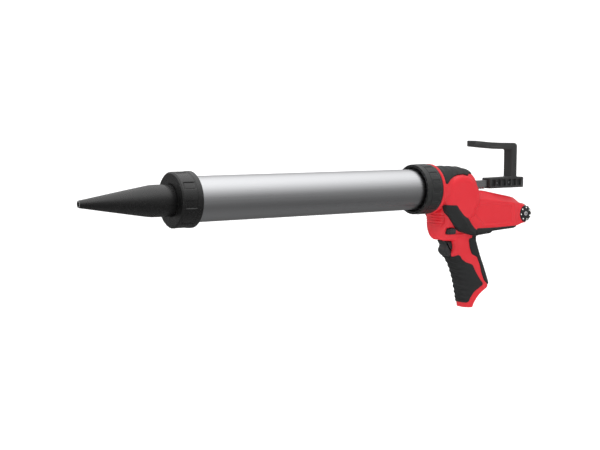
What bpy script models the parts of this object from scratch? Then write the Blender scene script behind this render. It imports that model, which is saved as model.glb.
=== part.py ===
"""Cordless caulking gun for 600 ml sausages: barrel, gear case, grip and pushed rack.

Lengths are written in millimetres and turned into metres by mm. X runs back along the
barrel from the front face of the front cap, Z is up and Y is across. The root empty moves
that frame so that the middle of the hand grip is the world origin.
"""
import math

import bmesh
import bpy
from mathutils import Vector

for old in list(bpy.data.objects):
    bpy.data.objects.remove(old, do_unlink=True)

mm = 0.001
gap = 0.3                   # between two pieces that touch

# barrel
tube_outer = 55.0
tube_wall = 1.75
tube_length = 374.0
cap_wall = 6.25             # outside the tube
cap_length = 27.0
cap_face = 3.0              # thickness of the cap's front wall
cap_ribs = 12
nozzle_reach = 113.5        # in front of the cap's face
nozzle_tip_outer = 8.4
nozzle_base_outer = 37.8
nozzle_wall = 2.2
nozzle_flange = 1.6
seal_thick = 0.65
collar_wall = 7.0           # outside the tube
collar_front = 366.3
collar_length = 27.0
collar_ribs = 16
rib_height = 1.2
rib_share = 0.6             # of the rib's pitch
ferrule_wall = 1.6
ferrule_flange = 2.8        # outside the ferrule's wall
ferrule_length = 14.0
seat_thick = 3.0            # the ferrule's flange along the barrel
seat_gap = 0.9              # between the ferrule's flange and the spigot
flange_width = 5.0          # red ring behind the collar

# rod
rack_width = 8.0
rack_top = 8.7
tooth_module = 1.5
pressure_angle = math.radians(20)
tooth_height = 0.8          # addendum in modules
tooth_depth = 1.05          # dedendum in modules
backlash = 0.24
rod_inset = 40.3            # front of the rack behind the front of the tube
rod_back_travel = 330.0
plunger_clearance = 0.6
bolt_radius = 2.5
pin_radius = 2.0
handle_front = 503.5
handle_length = 67.5
rack_end_inset = 9.5        # rear of the rack ahead of the rear of the handle
handle_half_width = 8.0
handle_bottom = -3.0
handle_top = 12.0
handle_arm_top = 61.0
handle_arm_thick = 9.0
handle_arm_tip = 473.0
handle_post = 11.0
handle_post_inset = 14.0    # rear of the post ahead of the rear of the handle
handle_pockets = 6

# gears
drive_x = 437.0
pinion_teeth = 16
drive_teeth = 32
idler_teeth = 14
idler_angle = math.radians(-45)
axle_radius = 4.0
axle_left = -14.0
axle_right = 17.5
bearing_radius = 7.0
plate_radius = 10.5
bevel_large = 14.0
bevel_small = 6.7
bevel_width = 6.0
motor_radius = 15.2
gearbox_end = 505.0
motor_end = 544.0
spindle_radius = 3.0

# case
wall = 2.5
pad_thick = 1.5
band_half_width = 29.0
dome_radius = 32.5
dome_half_width = 28.5
grip_bottom = -170.0
origin_x = 458.0
origin_z = -120.0

# trigger, lock button and dial
trigger_half_width = 8.5
trigger_travel = 6.5
trigger_back = 437.0
trigger_top = -71.8
trigger_bottom = -98.0
switch_length = 20.0
lock_x = 420.0
lock_z = -58.5
lock_reach = 22.5           # half length of the button across the tool
lock_travel = 4.0
dial_x = 568.0
dial_z = -41.0
dial_radius = 12.0
dial_inner = 3.5            # inner face of each wheel from the middle
dial_half_width = 17.0
dial_pin = 2.0
dial_scallops = 12

# case screws
boss_radius = 4.0
screw_radius = 1.5
screw_head = 3.0
screw_length = 9.0
screw_head_sink = 2.2

tube_radius = tube_outer / 2
tube_bore = tube_radius - tube_wall
ferrule_radius = tube_radius + gap + ferrule_wall
flange_radius = ferrule_radius + ferrule_flange
tube_rear = collar_front + ferrule_length - gap
tube_front = tube_rear - tube_length
cap_front = tube_front - cap_face - nozzle_flange - seal_thick - 2.5 * gap
cap_radius = tube_radius + cap_wall
collar_radius = tube_radius + collar_wall
collar_rear = collar_front + collar_length
case_front = collar_rear + gap
flange_rear = case_front + flange_width
pinion_pitch = tooth_module * pinion_teeth / 2
drive_pitch = tooth_module * drive_teeth / 2
idler_pitch = tooth_module * idler_teeth / 2
rack_tip = -3.2
rack_pitch_line = rack_tip + tooth_height * tooth_module
rack_root = rack_pitch_line + tooth_depth * tooth_module
drive_z = rack_pitch_line - pinion_pitch
idler_x = drive_x + (drive_pitch + idler_pitch) * math.cos(idler_angle)
idler_z = drive_z + (drive_pitch + idler_pitch) * math.sin(idler_angle)
motor_z = idler_z
rod_front = tube_front + rod_inset
rod_middle = (rack_root + rack_top) / 2
rack_end = handle_front + handle_length - rack_end_inset
handle_pins = (handle_front + 16, handle_front + 42)
case_round = collar_radius - 4.1        # the case where it starts behind the collar

# Each case screw has its x, its z and how far to the right its boss reaches.
screw_places = [(412.5, -46.0, 19.0), (446.0, 0.5 * case_round - 0.2, 0.625 * case_round),
                (546.5, motor_z - 10.1, 19.5), (460.0, -64.0, 17.0), (455.0, -106.0, 15.5)]

root = bpy.data.objects.new("tool_frame", None)
bpy.context.scene.collection.objects.link(root)
root.location = (-origin_x * mm, 0, -origin_z * mm)


def material(name, colour, roughness, metallic=0.0):
    made = bpy.data.materials.new(name)
    made.use_nodes = True
    shader = made.node_tree.nodes["Principled BSDF"]
    shader.inputs["Base Color"].default_value = (*colour, 1)
    shader.inputs["Roughness"].default_value = roughness
    shader.inputs["Metallic"].default_value = metallic
    return made


red_plastic = material("red_plastic", (0.62, 0.02, 0.03), 0.42)
black_rubber = material("black_rubber", (0.028, 0.03, 0.031), 0.7)
black_plastic = material("black_plastic", (0.02, 0.021, 0.022), 0.45)
barrel_aluminium = material("barrel_aluminium", (0.62, 0.63, 0.65), 0.3, 1.0)
steel = material("steel", (0.45, 0.45, 0.46), 0.35, 1.0)
brass = material("brass", (0.6, 0.42, 0.14), 0.35, 1.0)


def place(name, mesh_data, look, pivot=(0, 0, 0), guide=False):
    """Makes an object whose origin is at pivot, under the root empty."""
    bmesh.ops.recalc_face_normals(mesh_data, faces=mesh_data.faces)
    bmesh.ops.translate(mesh_data, verts=mesh_data.verts, vec=-Vector(pivot))
    bmesh.ops.scale(mesh_data, verts=mesh_data.verts, vec=(mm, mm, mm))
    mesh = bpy.data.meshes.new(name)
    mesh_data.to_mesh(mesh)
    mesh_data.free()
    if look:
        mesh.materials.append(look)
    made = bpy.data.objects.new(name, mesh)
    bpy.context.scene.collection.objects.link(made)
    made.parent = root
    made.location = Vector(pivot) * mm
    if guide:
        made.hide_render = True
        made.display_type = 'WIRE'
    else:
        mesh.shade_smooth()
        mesh.set_sharp_from_angle(angle=math.radians(35))
    return made


def boolean(target, other, operation='DIFFERENCE'):
    step = target.modifiers.new(operation.lower(), 'BOOLEAN')
    step.operation = operation
    step.solver = 'EXACT'
    step.object = other
    return target


def turned(profile, steps=40, y=0.0, z=0.0):
    """A closed profile of (x, radius) points turned about an axis along X."""
    shape = bmesh.new()
    points = [shape.verts.new((x, 0, radius)) for x, radius in profile]
    edges = [shape.edges.new((points[i], points[(i + 1) % len(points)])) for i in range(len(points))]
    bmesh.ops.spin(shape, geom=points + edges, cent=(0, 0, 0), axis=(1, 0, 0),
                   angle=math.tau, steps=steps, use_merge=True)
    bmesh.ops.remove_doubles(shape, verts=shape.verts, dist=0.0001)
    thin = [edge for edge in shape.edges if not edge.link_faces]
    bmesh.ops.delete(shape, geom=thin, context='EDGES')
    bmesh.ops.translate(shape, verts=shape.verts, vec=(0, y, z))
    return shape


def prism(outline, low, high):
    """An outline of (x, z) points, filled and extruded across the tool from low to high."""
    shape = bmesh.new()
    face = shape.faces.new([shape.verts.new((x, low, z)) for x, z in outline])
    pushed = bmesh.ops.extrude_face_region(shape, geom=[face])
    moved = [item for item in pushed["geom"] if isinstance(item, bmesh.types.BMVert)]
    bmesh.ops.translate(shape, verts=moved, vec=(0, high - low, 0))
    return shape


def block(x0, x1, y0, y1, z0, z1):
    return prism([(x0, z0), (x1, z0), (x1, z1), (x0, z1)], y0, y1)


def circle(x, z, radius, steps=24, turn=0.0):
    angles = [turn + math.tau * i / steps for i in range(steps)]
    return [(x + radius * math.cos(a), z + radius * math.sin(a)) for a in angles]


def loft(rings):
    """Skins a list of rings, each a list of the same number of points, and caps both ends."""
    shape = bmesh.new()
    rows = [[shape.verts.new(point) for point in ring] for ring in rings]
    count = len(rows[0])
    for near, far in zip(rows, rows[1:]):
        for i in range(count):
            j = (i + 1) % count
            shape.faces.new((near[i], near[j], far[j], far[i]))
    shape.faces.new(rows[0])
    shape.faces.new(rows[-1])
    bmesh.ops.triangulate(shape, faces=[face for face in shape.faces if len(face.verts) == 4])
    return shape


def section(front, back, half_width, power, offset, steps=18):
    """A superellipse whose first axis joins front to back in the XZ plane, grown by offset."""
    a, b = Vector(front), Vector(back)
    middle, along = (a + b) / 2, (b - a).normalized()
    half = (b - a).length / 2 + offset
    ring = []
    for i in range(steps):
        angle = math.tau * (i + 0.5) / steps
        c, s = math.cos(angle), math.sin(angle)
        u = math.copysign(abs(c) ** (2 / power), c) * half
        v = math.copysign(abs(s) ** (2 / power), s) * (half_width + offset)
        ring.append((middle.x + along.x * u, v, middle.y + along.y * u))
    return ring


# Each row below is one section: its two end points in XZ, its half width and its power.
def barrel_end(offset):
    """The round front of the gear case, behind the collar, with its top falling to the rear."""
    start = flange_rear - 6
    rows = [((start, -case_round), (start, case_round), case_round, 2.0),
            ((412, -30.4), (412, case_round - 0.6), case_round - 2.2, 2.0),
            ((434, -31), (434, case_round - 1.4), case_round - 4.6, 2.1),
            ((447, -33), (447, case_round - 2.5), case_round - 5.4, 2.2),
            ((456, -34), (457, case_round - 4.8), 24.0, 2.3),
            ((463, -34), (464, 22.2), 22.4, 2.4),
            ((467.6, -35), (469.2, 16.2), 20.0, 2.5),
            ((474.3, -36), (475.6, 2.3), 16.4, 2.6)]
    if offset < 0:
        rows[0] = ((case_front - 3, -tube_bore), (case_front - 3, tube_bore), tube_bore, 2.0)
        rows.insert(1, ((case_front + 3, -tube_bore), (case_front + 3, tube_bore), tube_bore, 2.0))
    return place("gear_case_form", loft([section(*row, offset) for row in rows]), None, guide=True)


def flange_form(offset):
    radius = collar_radius - 0.2
    return place("flange_form", turned([(case_front - offset, 0), (case_front - offset, radius),
                                        (flange_rear + offset, radius), (flange_rear + offset, 0)]),
                 None, guide=True)


def nose_form(offset):
    rows = [((420, -8), (462, -8), 25.0, 2.6),
            ((403.5, -30), (466, -30), 26.0, 2.8),
            ((403, -43), (468, -43), 25.0, 3.0),
            ((403.5, -57), (470, -57), 21.5, 3.0),
            ((406, -66), (472, -66), 18.0, 3.0),
            ((415, -72.3), (470, -72.3), 14.6, 3.0)]
    rings = [section(*row, offset) for row in rows]
    rings[-1] = [(x, y, z - offset) for x, y, z in rings[-1]]
    return place("nose_form", loft(rings), None, guide=True)


def motor_form(offset):
    """The case round the motor: its heights are measured from the motor's axis."""
    rows = [((446, -25.9), (446, 38.0), 24.5, 3.6),
            ((490, -22.4), (490, 33.2), 23.5, 4.0),
            ((520, -20.9), (520, 27.4), 22.5, 4.0),
            ((546, -20.2), (546, 22.2), 21.8, 4.0)]
    if offset >= 0:
        rows += [((557, -19.2), (556, 16.6), 20.5, 4.0),
                 ((565, -17.2), (566, 12.8), 19.5, 4.0),
                 ((571, -16.4), (572, 12.0), 19.0, 4.0)]
    else:
        hollow_end = dial_x - dial_radius - wall - 1.5
        rows += [((hollow_end, -20.0), (hollow_end, 19.5), 21.2, 4.0)]
    level = round(motor_z, 1)
    rings = [[(x, y, z + level) for x, y, z in section(*row, offset)] for row in rows]
    return place("motor_form", loft(rings), None, guide=True)


def grip_form(offset):
    rows = [((426, -58), (476, -58), 19.5, 3.0),
            ((430, -73), (474, -73), 17.4, 2.8),
            ((432, -83), (477.5, -83), 16.8, 2.8),
            ((429.5, -94), (483.5, -94), 16.6, 2.8),
            ((441.5, -112), (492.5, -112), 16.3, 2.8),
            ((448.5, -130), (500, -130), 16.2, 2.8),
            ((451.5, -142), (503.5, -139), 16.0, 2.8),
            ((454.5, -155), (503.5, -152), 15.8, 2.8),
            ((460.5, -182), (503.5, -182), 15.2, 2.8)]
    return place("grip_form", loft([section(*row, offset) for row in rows]), None, guide=True)


def dome_form(offset):
    radius, half = dome_radius + offset, dome_half_width + offset
    rim = 4.0
    shape = loft([[(x, y, z) for x, z in circle(drive_x, drive_z, r, 24)]
                  for y, r in ((-half, radius - rim), (-half + rim / 2, radius), (half - rim / 2, radius),
                               (half, radius - rim))])
    return place("dome_form", shape, None, guide=True)


def base_cutter():
    """What is below the grip: flat at the front, rising in a hollow arc to the back."""
    outline = [(400, grip_bottom), (467.5, grip_bottom), (470, -163.5), (474.5, -157), (480.5, -151.5),
               (488.5, -146.8), (503.5, -141), (540, -141), (540, -230), (400, -230)]
    return place("base_cutter", prism(outline, -40, 40), None, guide=True)


def case_form(name, offset):
    """The whole outside of the case, grown by offset."""
    body = barrel_end(offset)
    body.name = name
    for other in (nose_form(offset), motor_form(offset), grip_form(offset), dome_form(offset)):
        boolean(body, other, 'UNION')
    return body


clear_case = case_form("clear_case", gap)
pad_case = case_form("pad_case", gap + pad_thick)
hollow_case = case_form("hollow_case", -wall)
below_grip = base_cutter()
collar_space = place("collar_space", turned([(340, 0), (340, collar_radius + 0.8),
                                             (case_front, collar_radius + 0.8), (case_front, 0)]),
                     None, guide=True)
flange_solid = flange_form(0)
flange_space = flange_form(gap)

# Each way is an opening through the case, named for what moves in it.
rack_way = place("rack_way", block(400, 500, -rack_width / 2 - 1, rack_width / 2 + 1, rack_tip - 1.5,
                                   rack_top + 1), None, guide=True)
trigger_way = place("trigger_way", block(395, trigger_back + 10, -trigger_half_width - 0.4,
                                         trigger_half_width + 0.4, trigger_bottom - 0.5,
                                         trigger_top + 0.8), None, guide=True)
lock_outline = [(lock_x - 5.5, lock_z - 2), (lock_x - 3.5, lock_z - 4), (lock_x + 3.5, lock_z - 4),
                (lock_x + 5.5, lock_z - 2), (lock_x + 5.5, lock_z + 2), (lock_x + 3.5, lock_z + 4),
                (lock_x - 3.5, lock_z + 4), (lock_x - 5.5, lock_z + 2)]
lock_way = place("lock_way", prism([(lock_x + (x - lock_x) * 1.07, lock_z + (z - lock_z) * 1.1)
                                    for x, z in lock_outline], -40, 40), None, guide=True)
dial_way = place("dial_way", prism(circle(dial_x, dial_z, dial_radius + 0.6, 32), -40, 40),
                 None, guide=True)
bracket_front = dial_x - dial_radius - 3.8
bracket_way = place("bracket_way", block(bracket_front - 0.7, bracket_front + 9.8, -dial_inner + 0.1,
                                         dial_inner - 0.1, dial_z - 5.4, dial_z + 5.4), None, guide=True)


def plug(shape, outline, low, high):
    """Adds one more closed prism to a cutter's mesh."""
    face = shape.faces.new([shape.verts.new((x, low, z)) for x, z in outline])
    pushed = bmesh.ops.extrude_face_region(shape, geom=[face])
    moved = [item for item in pushed["geom"] if isinstance(item, bmesh.types.BMVert)]
    bmesh.ops.translate(shape, verts=moved, vec=(0, high - low, 0))
    return shape


def stepped_round(x, z, rows):
    """A round shape along Y with one section for each (y, radius) row."""
    return loft([[(px, y, pz) for px, pz in circle(x, z, radius, 16)] for y, radius in rows])


def case_half(name, side):
    """One moulded shell: outside, less the hollow, with screw bosses and every opening."""
    half = case_form(name, 0)
    half.hide_render = False
    half.display_type = 'TEXTURED'
    half.data.materials.append(red_plastic)
    boolean(half, collar_space)
    boolean(half, flange_solid, 'UNION')
    boolean(half, below_grip)
    boolean(half, hollow_case)
    for number, (x, z, depth) in enumerate(screw_places):
        inner, outer = (0, depth - 1.2) if side > 0 else (-depth + 1.2, 0)
        boss = place(f"{name}_boss_{number}", prism(circle(x, z, boss_radius, 12), inner, outer), None,
                     guide=True)
        boolean(half, boss, 'UNION')
    for way in (rack_way, trigger_way, lock_way, dial_way, bracket_way):
        boolean(half, way)
    shank, head = screw_radius + 0.4, screw_head + 0.4
    for number, (x, z, depth) in enumerate(screw_places):
        seat = depth - screw_head_sink - 1
        rows = [(-3, shank), (seat, shank), (seat, head), (60, head)]
        if side < 0:
            rows = [(-screw_length, shank), (3, shank)]
        boolean(half, place(f"{name}_hole_{number}", stepped_round(x, z, rows), None, guide=True))
    away = (-60, gap / 2) if side > 0 else (-gap / 2, 60)
    boolean(half, place(f"{name}_split", block(300, 700, *away, -300, 100), None, guide=True))
    return half


def case_screw(number, x, z, depth):
    """A self-tapping screw whose head sits in the right half's counterbore."""
    head = depth - screw_head_sink
    rows = [(-screw_length + 1.5, screw_radius * 0.6), (-screw_length + 3, screw_radius),
            (head - 0.4, screw_radius), (head - 0.4, screw_head), (head + 1.4, screw_head * 0.8)]
    place(f"case_screw_{number}", stepped_round(x, z, rows), steel)


def clear(made):
    """Cuts away what would touch the case, its flange ring or the collar."""
    for other in (clear_case, flange_space, collar_space):
        boolean(made, other)
    return made


def pad(name, outline):
    """A rubber overmould: the padded case inside an outline, less the case with its gap."""
    made = place(name, prism(outline, -40, 40), black_rubber)
    boolean(made, pad_case, 'INTERSECT')
    return clear(made)


def ring_outline(radius, ribs, depth=0.0):
    """A round outline with raised ribs, used for the grip bands of the cap and the collar."""
    points = []
    for i in range(ribs):
        start = math.tau * i / ribs
        step = math.tau / ribs
        for turn, r in ((0, radius), (rib_share, radius), (rib_share + 0.06, radius - depth),
                        (0.94, radius - depth)):
            angle = start + step * turn
            points.append((r * math.cos(angle), r * math.sin(angle)))
    return points


def ribbed_ring(name, outlines, bore_profile):
    """Skins ribbed outlines given as (x, outline) rows, then bores it with a turned cutter."""
    made = place(name, loft([[(x, a, b) for a, b in outline] for x, outline in outlines]), black_plastic)
    return boolean(made, place(f"{name}_bore", turned(bore_profile, 48), None, guide=True))


def involute(angle):
    return math.tan(angle) - angle


def gear_outline(teeth, turn):
    """Involute teeth round the origin; the middle of one tooth is at the angle turn."""
    pitch = tooth_module * teeth / 2
    base = pitch * math.cos(pressure_angle)
    tip = pitch + tooth_height * tooth_module
    foot = pitch - tooth_depth * tooth_module
    half = math.pi / (2 * teeth) - backlash / (4 * pitch)
    flank = []
    for radius in (max(base, foot + 0.1), pitch, tip):
        lean = math.acos(min(1, base / radius))
        flank.append((radius, half + involute(pressure_angle) - involute(lean)))
    side = [(foot, flank[0][1] + 0.02)] + flank
    outline = []
    for i in range(teeth):
        middle = turn + math.tau * i / teeth
        rising = [(r, middle - a) for r, a in side]
        falling = [(r, middle + a) for r, a in reversed(side)]
        outline += [(r * math.cos(a), r * math.sin(a)) for r, a in rising + falling]
    return outline


def gear(name, teeth, turn, x, z, low, high):
    """A spur gear with its axis along Y through (x, z), bored for its axle."""
    outline = [(x + a, z + b) for a, b in gear_outline(teeth, turn)]
    made = place(name, prism(outline, low, high), steel, (x, 0, z))
    bore = place(f"{name}_bore", prism(circle(x, z, axle_radius + gap, 16), low - 5, high + 5), None,
                 guide=True)
    return boolean(made, bore)


def axle(name, x, z, low, high, radius, look=steel, steps=20):
    shape = loft([[(px, y, pz) for px, pz in circle(x, z, r, steps)]
                  for y, r in ((low, radius - 0.5), (low + 0.5, radius),
                               (high - 0.5, radius), (high, radius - 0.5))])
    return place(name, shape, look, (x, 0, z))


def make_barrel():
    place("barrel_tube", turned([(tube_front, tube_bore), (tube_front, tube_radius),
                                 (tube_rear, tube_radius), (tube_rear, tube_bore)], 56),
          barrel_aluminium)
    inner = tube_radius + gap
    shoulder = collar_front + ferrule_length
    place("barrel_ferrule", turned([(collar_front + 0.4, inner), (collar_front + 0.4, ferrule_radius),
                                    (shoulder, ferrule_radius), (shoulder, flange_radius),
                                    (shoulder + seat_thick, flange_radius), (shoulder + seat_thick, inner)],
                                   48), steel)


def make_front():
    """The cap that screws on the tube, the cone it traps and the cone's washer."""
    base = nozzle_base_outer / 2
    bore = base + gap + 0.2
    chamfered = ring_outline(cap_radius - 1.4, cap_ribs)
    band = ring_outline(cap_radius - 0.4, cap_ribs)
    ribbed = ring_outline(cap_radius - 0.4, cap_ribs, rib_height)
    rim = ring_outline(cap_radius, cap_ribs)
    rows = [(0, chamfered), (1.4, band), (3.4, band), (3.8, ribbed), (cap_length - 8, ribbed),
            (cap_length - 7.6, rim), (cap_length, rim)]
    seat = cap_front + cap_face
    end = cap_front + cap_length
    clearance = tube_radius + 2 * gap
    ribbed_ring("front_cap", [(cap_front + x, outline) for x, outline in rows],
                [(cap_front - 5, 0), (cap_front - 5, bore), (seat, bore), (seat, clearance),
                 (end + 5, clearance), (end + 5, 0)])
    tip = nozzle_tip_outer / 2
    flange = seat + gap
    seal = flange + nozzle_flange
    mouth = cap_front - nozzle_reach
    shoulder = cap_front - 30
    place("nozzle", turned([(mouth, tip - 1.0), (mouth, tip), (shoulder, base - 0.5),
                            (shoulder + 3, base - 0.1), (seat, base), (flange, base),
                            (flange, tube_radius - 0.5), (seal, tube_radius - 0.5),
                            (seal, base - nozzle_wall), (shoulder, base - nozzle_wall - 0.6)], 40),
          black_plastic)
    place("nozzle_seal", turned([(seal + gap / 2, tube_bore - 3), (seal + gap / 2, tube_radius - 0.8),
                                 (tube_front - gap, tube_radius - 0.8), (tube_front - gap, tube_bore - 3)],
                                40), black_rubber)


def make_collar():
    """The ring nut that holds the barrel's ferrule against the spigot of the tool."""
    plain = ring_outline(collar_radius - 1.6, collar_ribs)
    front = ring_outline(collar_radius - 0.4, collar_ribs)
    ribbed = ring_outline(collar_radius, collar_ribs, rib_height)
    lip = ferrule_radius + gap + 0.1
    deep = flange_radius + 0.5
    shoulder = collar_front + ferrule_length - gap
    ribbed_ring("collar",
                [(collar_front, plain), (collar_front + 1.5, front), (collar_front + 8.2, front),
                 (collar_front + 8.6, ribbed), (collar_rear - 4, ribbed), (collar_rear - 3.6, front),
                 (collar_rear, front)],
                [(collar_front - 5, 0), (collar_front - 5, lip), (shoulder, lip), (shoulder, deep),
                 (collar_rear + 5, deep), (collar_rear + 5, 0)])
    start = shoulder + seat_thick + seat_gap
    place("barrel_spigot", turned([(start, tube_bore + 0.3), (start, deep - 0.4),
                                   (case_front - gap, deep - 0.4), (case_front - gap, tube_bore + 0.3)],
                                  48), steel)


def rack_outline():
    """The rack's side view: teeth along the underside where the pinion can reach."""
    pitch = math.pi * tooth_module
    lean = math.tan(pressure_angle)
    half = pitch / 4 - backlash / 4
    tip_half = half - tooth_height * tooth_module * lean
    foot_half = half + tooth_depth * tooth_module * lean
    first = -int((rod_back_travel + pinion_pitch) / pitch) - 1
    last = int((handle_front - 3 - drive_x) / pitch) - 1
    outline = [(rod_front, rack_root)]
    for i in range(first, last + 1):
        middle = drive_x + pitch * (i + 0.5)
        outline += [(middle - foot_half, rack_root), (middle - tip_half, rack_tip),
                    (middle + tip_half, rack_tip), (middle + foot_half, rack_root)]
    outline += [(rack_end, rack_root), (rack_end, rack_top), (rod_front, rack_top)]
    return outline


def make_rod():
    half = rack_width / 2
    rack = place("rack", prism(rack_outline(), -half, half), steel)
    bolt_hole = bolt_radius + gap + 0.1
    holes = turned([(rod_front - 4, 0), (rod_front - 4, bolt_hole), (rod_front + 16, bolt_hole),
                    (rod_front + 16, 0)], 16, z=rod_middle)
    for x in handle_pins:
        plug(holes, circle(x, rod_middle, pin_radius + 0.35, 16), -20, 20)
    boolean(rack, place("rack_holes", holes, None, guide=True))
    hole = place("plunger_hole", turned([(rod_front - 30, 0), (rod_front - 30, bolt_hole),
                                         (rod_front + 3, bolt_hole), (rod_front + 3, 0)], 16,
                                        z=rod_middle), None, guide=True)
    radius = tube_bore - plunger_clearance
    back = place("plunger_plate", turned([(rod_front - 4.3, 0), (rod_front - 4.3, radius - 1.5),
                                          (rod_front - gap, radius - 1.5), (rod_front - gap, 0)]), steel)
    front = place("plunger_cup", turned([(rod_front - 14, 0), (rod_front - 14, radius - 5),
                                         (rod_front - 12, radius - 1), (rod_front - 9, radius),
                                         (rod_front - 4.6, radius), (rod_front - 4.6, 0)]), black_rubber)
    boolean(back, hole)
    boolean(front, hole)
    place("plunger_bolt", turned([(rod_front - 18, 0), (rod_front - 18, 4.6), (rod_front - 17.5, 5.5),
                                  (rod_front - 14.3, 5.5), (rod_front - 14.3, bolt_radius),
                                  (rod_front + 14, bolt_radius), (rod_front + 14, 0)], 16, z=rod_middle),
          steel)


def make_handle():
    """The hand pull: a ribbed block round the end of the rack, a post and a forward arm."""
    end = handle_front + handle_length
    post_back = end - handle_post_inset
    post_front = post_back - handle_post
    top = handle_arm_top
    under = top - handle_arm_thick
    outline = [(handle_front, handle_bottom), (end, handle_bottom), (end, handle_top),
               (post_back, handle_top), (post_back, top - 4), (post_back - 3, top),
               (handle_arm_tip + 45, top + 1.0), (handle_arm_tip + 20, top + 2.6), (handle_arm_tip, top + 4.6),
               (handle_arm_tip, top - 3.4), (handle_arm_tip + 20, top - 5.6),
               (handle_arm_tip + 45, under + 1.0), (post_front - 2, under), (post_front, under - 2),
               (post_front, handle_top), (handle_front, handle_top)]
    handle = place("pull_handle", prism(outline, -handle_half_width, handle_half_width), black_plastic)
    bevel = handle.modifiers.new("rounding", 'BEVEL')
    bevel.width = 0.8 * mm
    bevel.segments = 1
    bevel.limit_method = 'ANGLE'
    cuts = block(handle_front - 5, rack_end + 1, -rack_width / 2 - gap, rack_width / 2 + gap,
                 rack_root - gap - 0.2, rack_top + gap)
    pitch = (handle_length - 6) / handle_pockets
    for side in (-1, 1):
        for i in range(handle_pockets):
            x = handle_front + 4 + pitch * i
            near = side * (handle_half_width - 2.2)
            far = side * (handle_half_width + 3)
            plug(cuts, [(x, 0.5), (x + pitch - 2.2, 0.5), (x + pitch - 2.2, 9), (x, 9)],
                 min(near, far), max(near, far))
    boolean(handle, place("handle_cuts", cuts, None, guide=True))
    holes = bmesh.new()
    for x in handle_pins:
        plug(holes, circle(x, rod_middle, pin_radius + gap, 16), -20, 20)
    boolean(handle, place("handle_pin_holes", holes, None, guide=True))
    for number, x in enumerate(handle_pins):
        reach = handle_half_width - 2.6
        axle(f"handle_pin_{number}", x, rod_middle, -reach, reach, pin_radius, steel, 16)


def make_gears():
    """Two wheels on the drive axle, two on the idler axle and the motor's bevel pinion."""
    half = rack_width / 2 + 0.5
    gear("rack_pinion", pinion_teeth, math.pi / 2, drive_x, drive_z, -half, half)
    gear("drive_gear", drive_teeth, idler_angle, drive_x, drive_z, half + 1.5, half + 7.5)
    gear("idler_pinion", idler_teeth, idler_angle + math.pi + math.pi / idler_teeth, idler_x, idler_z,
         half + 1, half + 8)
    axle("drive_axle", drive_x, drive_z, axle_left, axle_right, axle_radius)
    axle("idler_axle", idler_x, idler_z, axle_left, axle_right, axle_radius)
    wheel = loft([[(px, y, pz) for px, pz in circle(idler_x, idler_z, r, 32)]
                  for y, r in ((-9.3, bevel_large), (-7.3, bevel_large),
                               (-4.3, bevel_large - bevel_width))])
    bore = place("bevel_wheel_bore", prism(circle(idler_x, idler_z, axle_radius + gap, 20), -30, 30), None,
                 guide=True)
    boolean(place("bevel_wheel", wheel, steel, (idler_x, 0, idler_z)), bore)
    start = idler_x + bevel_large - bevel_width
    back = start + bevel_width + 2.5
    place("bevel_pinion", turned([(start, 0), (start, bevel_small - 3), (start + bevel_width, bevel_small),
                                  (back, bevel_small), (back, spindle_radius),
                                  (back + 2.5, spindle_radius), (back + 2.5, 0)], 24, z=motor_z), steel)


def bearing_plate(name, low, high):
    """A pressed plate that carries both axles."""
    outline = []
    for x, z, first in ((drive_x, drive_z, idler_angle + math.pi / 2), (idler_x, idler_z,
                                                                       idler_angle - math.pi / 2)):
        for i in range(9):
            angle = first + math.pi * i / 8
            outline.append((x + plate_radius * math.cos(angle), z + plate_radius * math.sin(angle)))
    plate = place(name, prism(outline, low, high), steel)
    holes = bmesh.new()
    plug(holes, circle(drive_x, drive_z, bearing_radius + gap, 20), low - 5, high + 5)
    plug(holes, circle(idler_x, idler_z, bearing_radius + gap, 20), low - 5, high + 5)
    boolean(plate, place(f"{name}_holes", holes, None, guide=True))
    for label, x, z in (("drive", drive_x, drive_z), ("idler", idler_x, idler_z)):
        bush = place(f"{label}_bush_{'left' if low < 0 else 'right'}",
                     prism(circle(x, z, bearing_radius, 20), low, high), brass)
        bore = place(f"{label}_bush_bore_{'left' if low < 0 else 'right'}",
                     prism(circle(x, z, axle_radius + 0.1, 20), low - 5, high + 5), None, guide=True)
        boolean(bush, bore)


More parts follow.
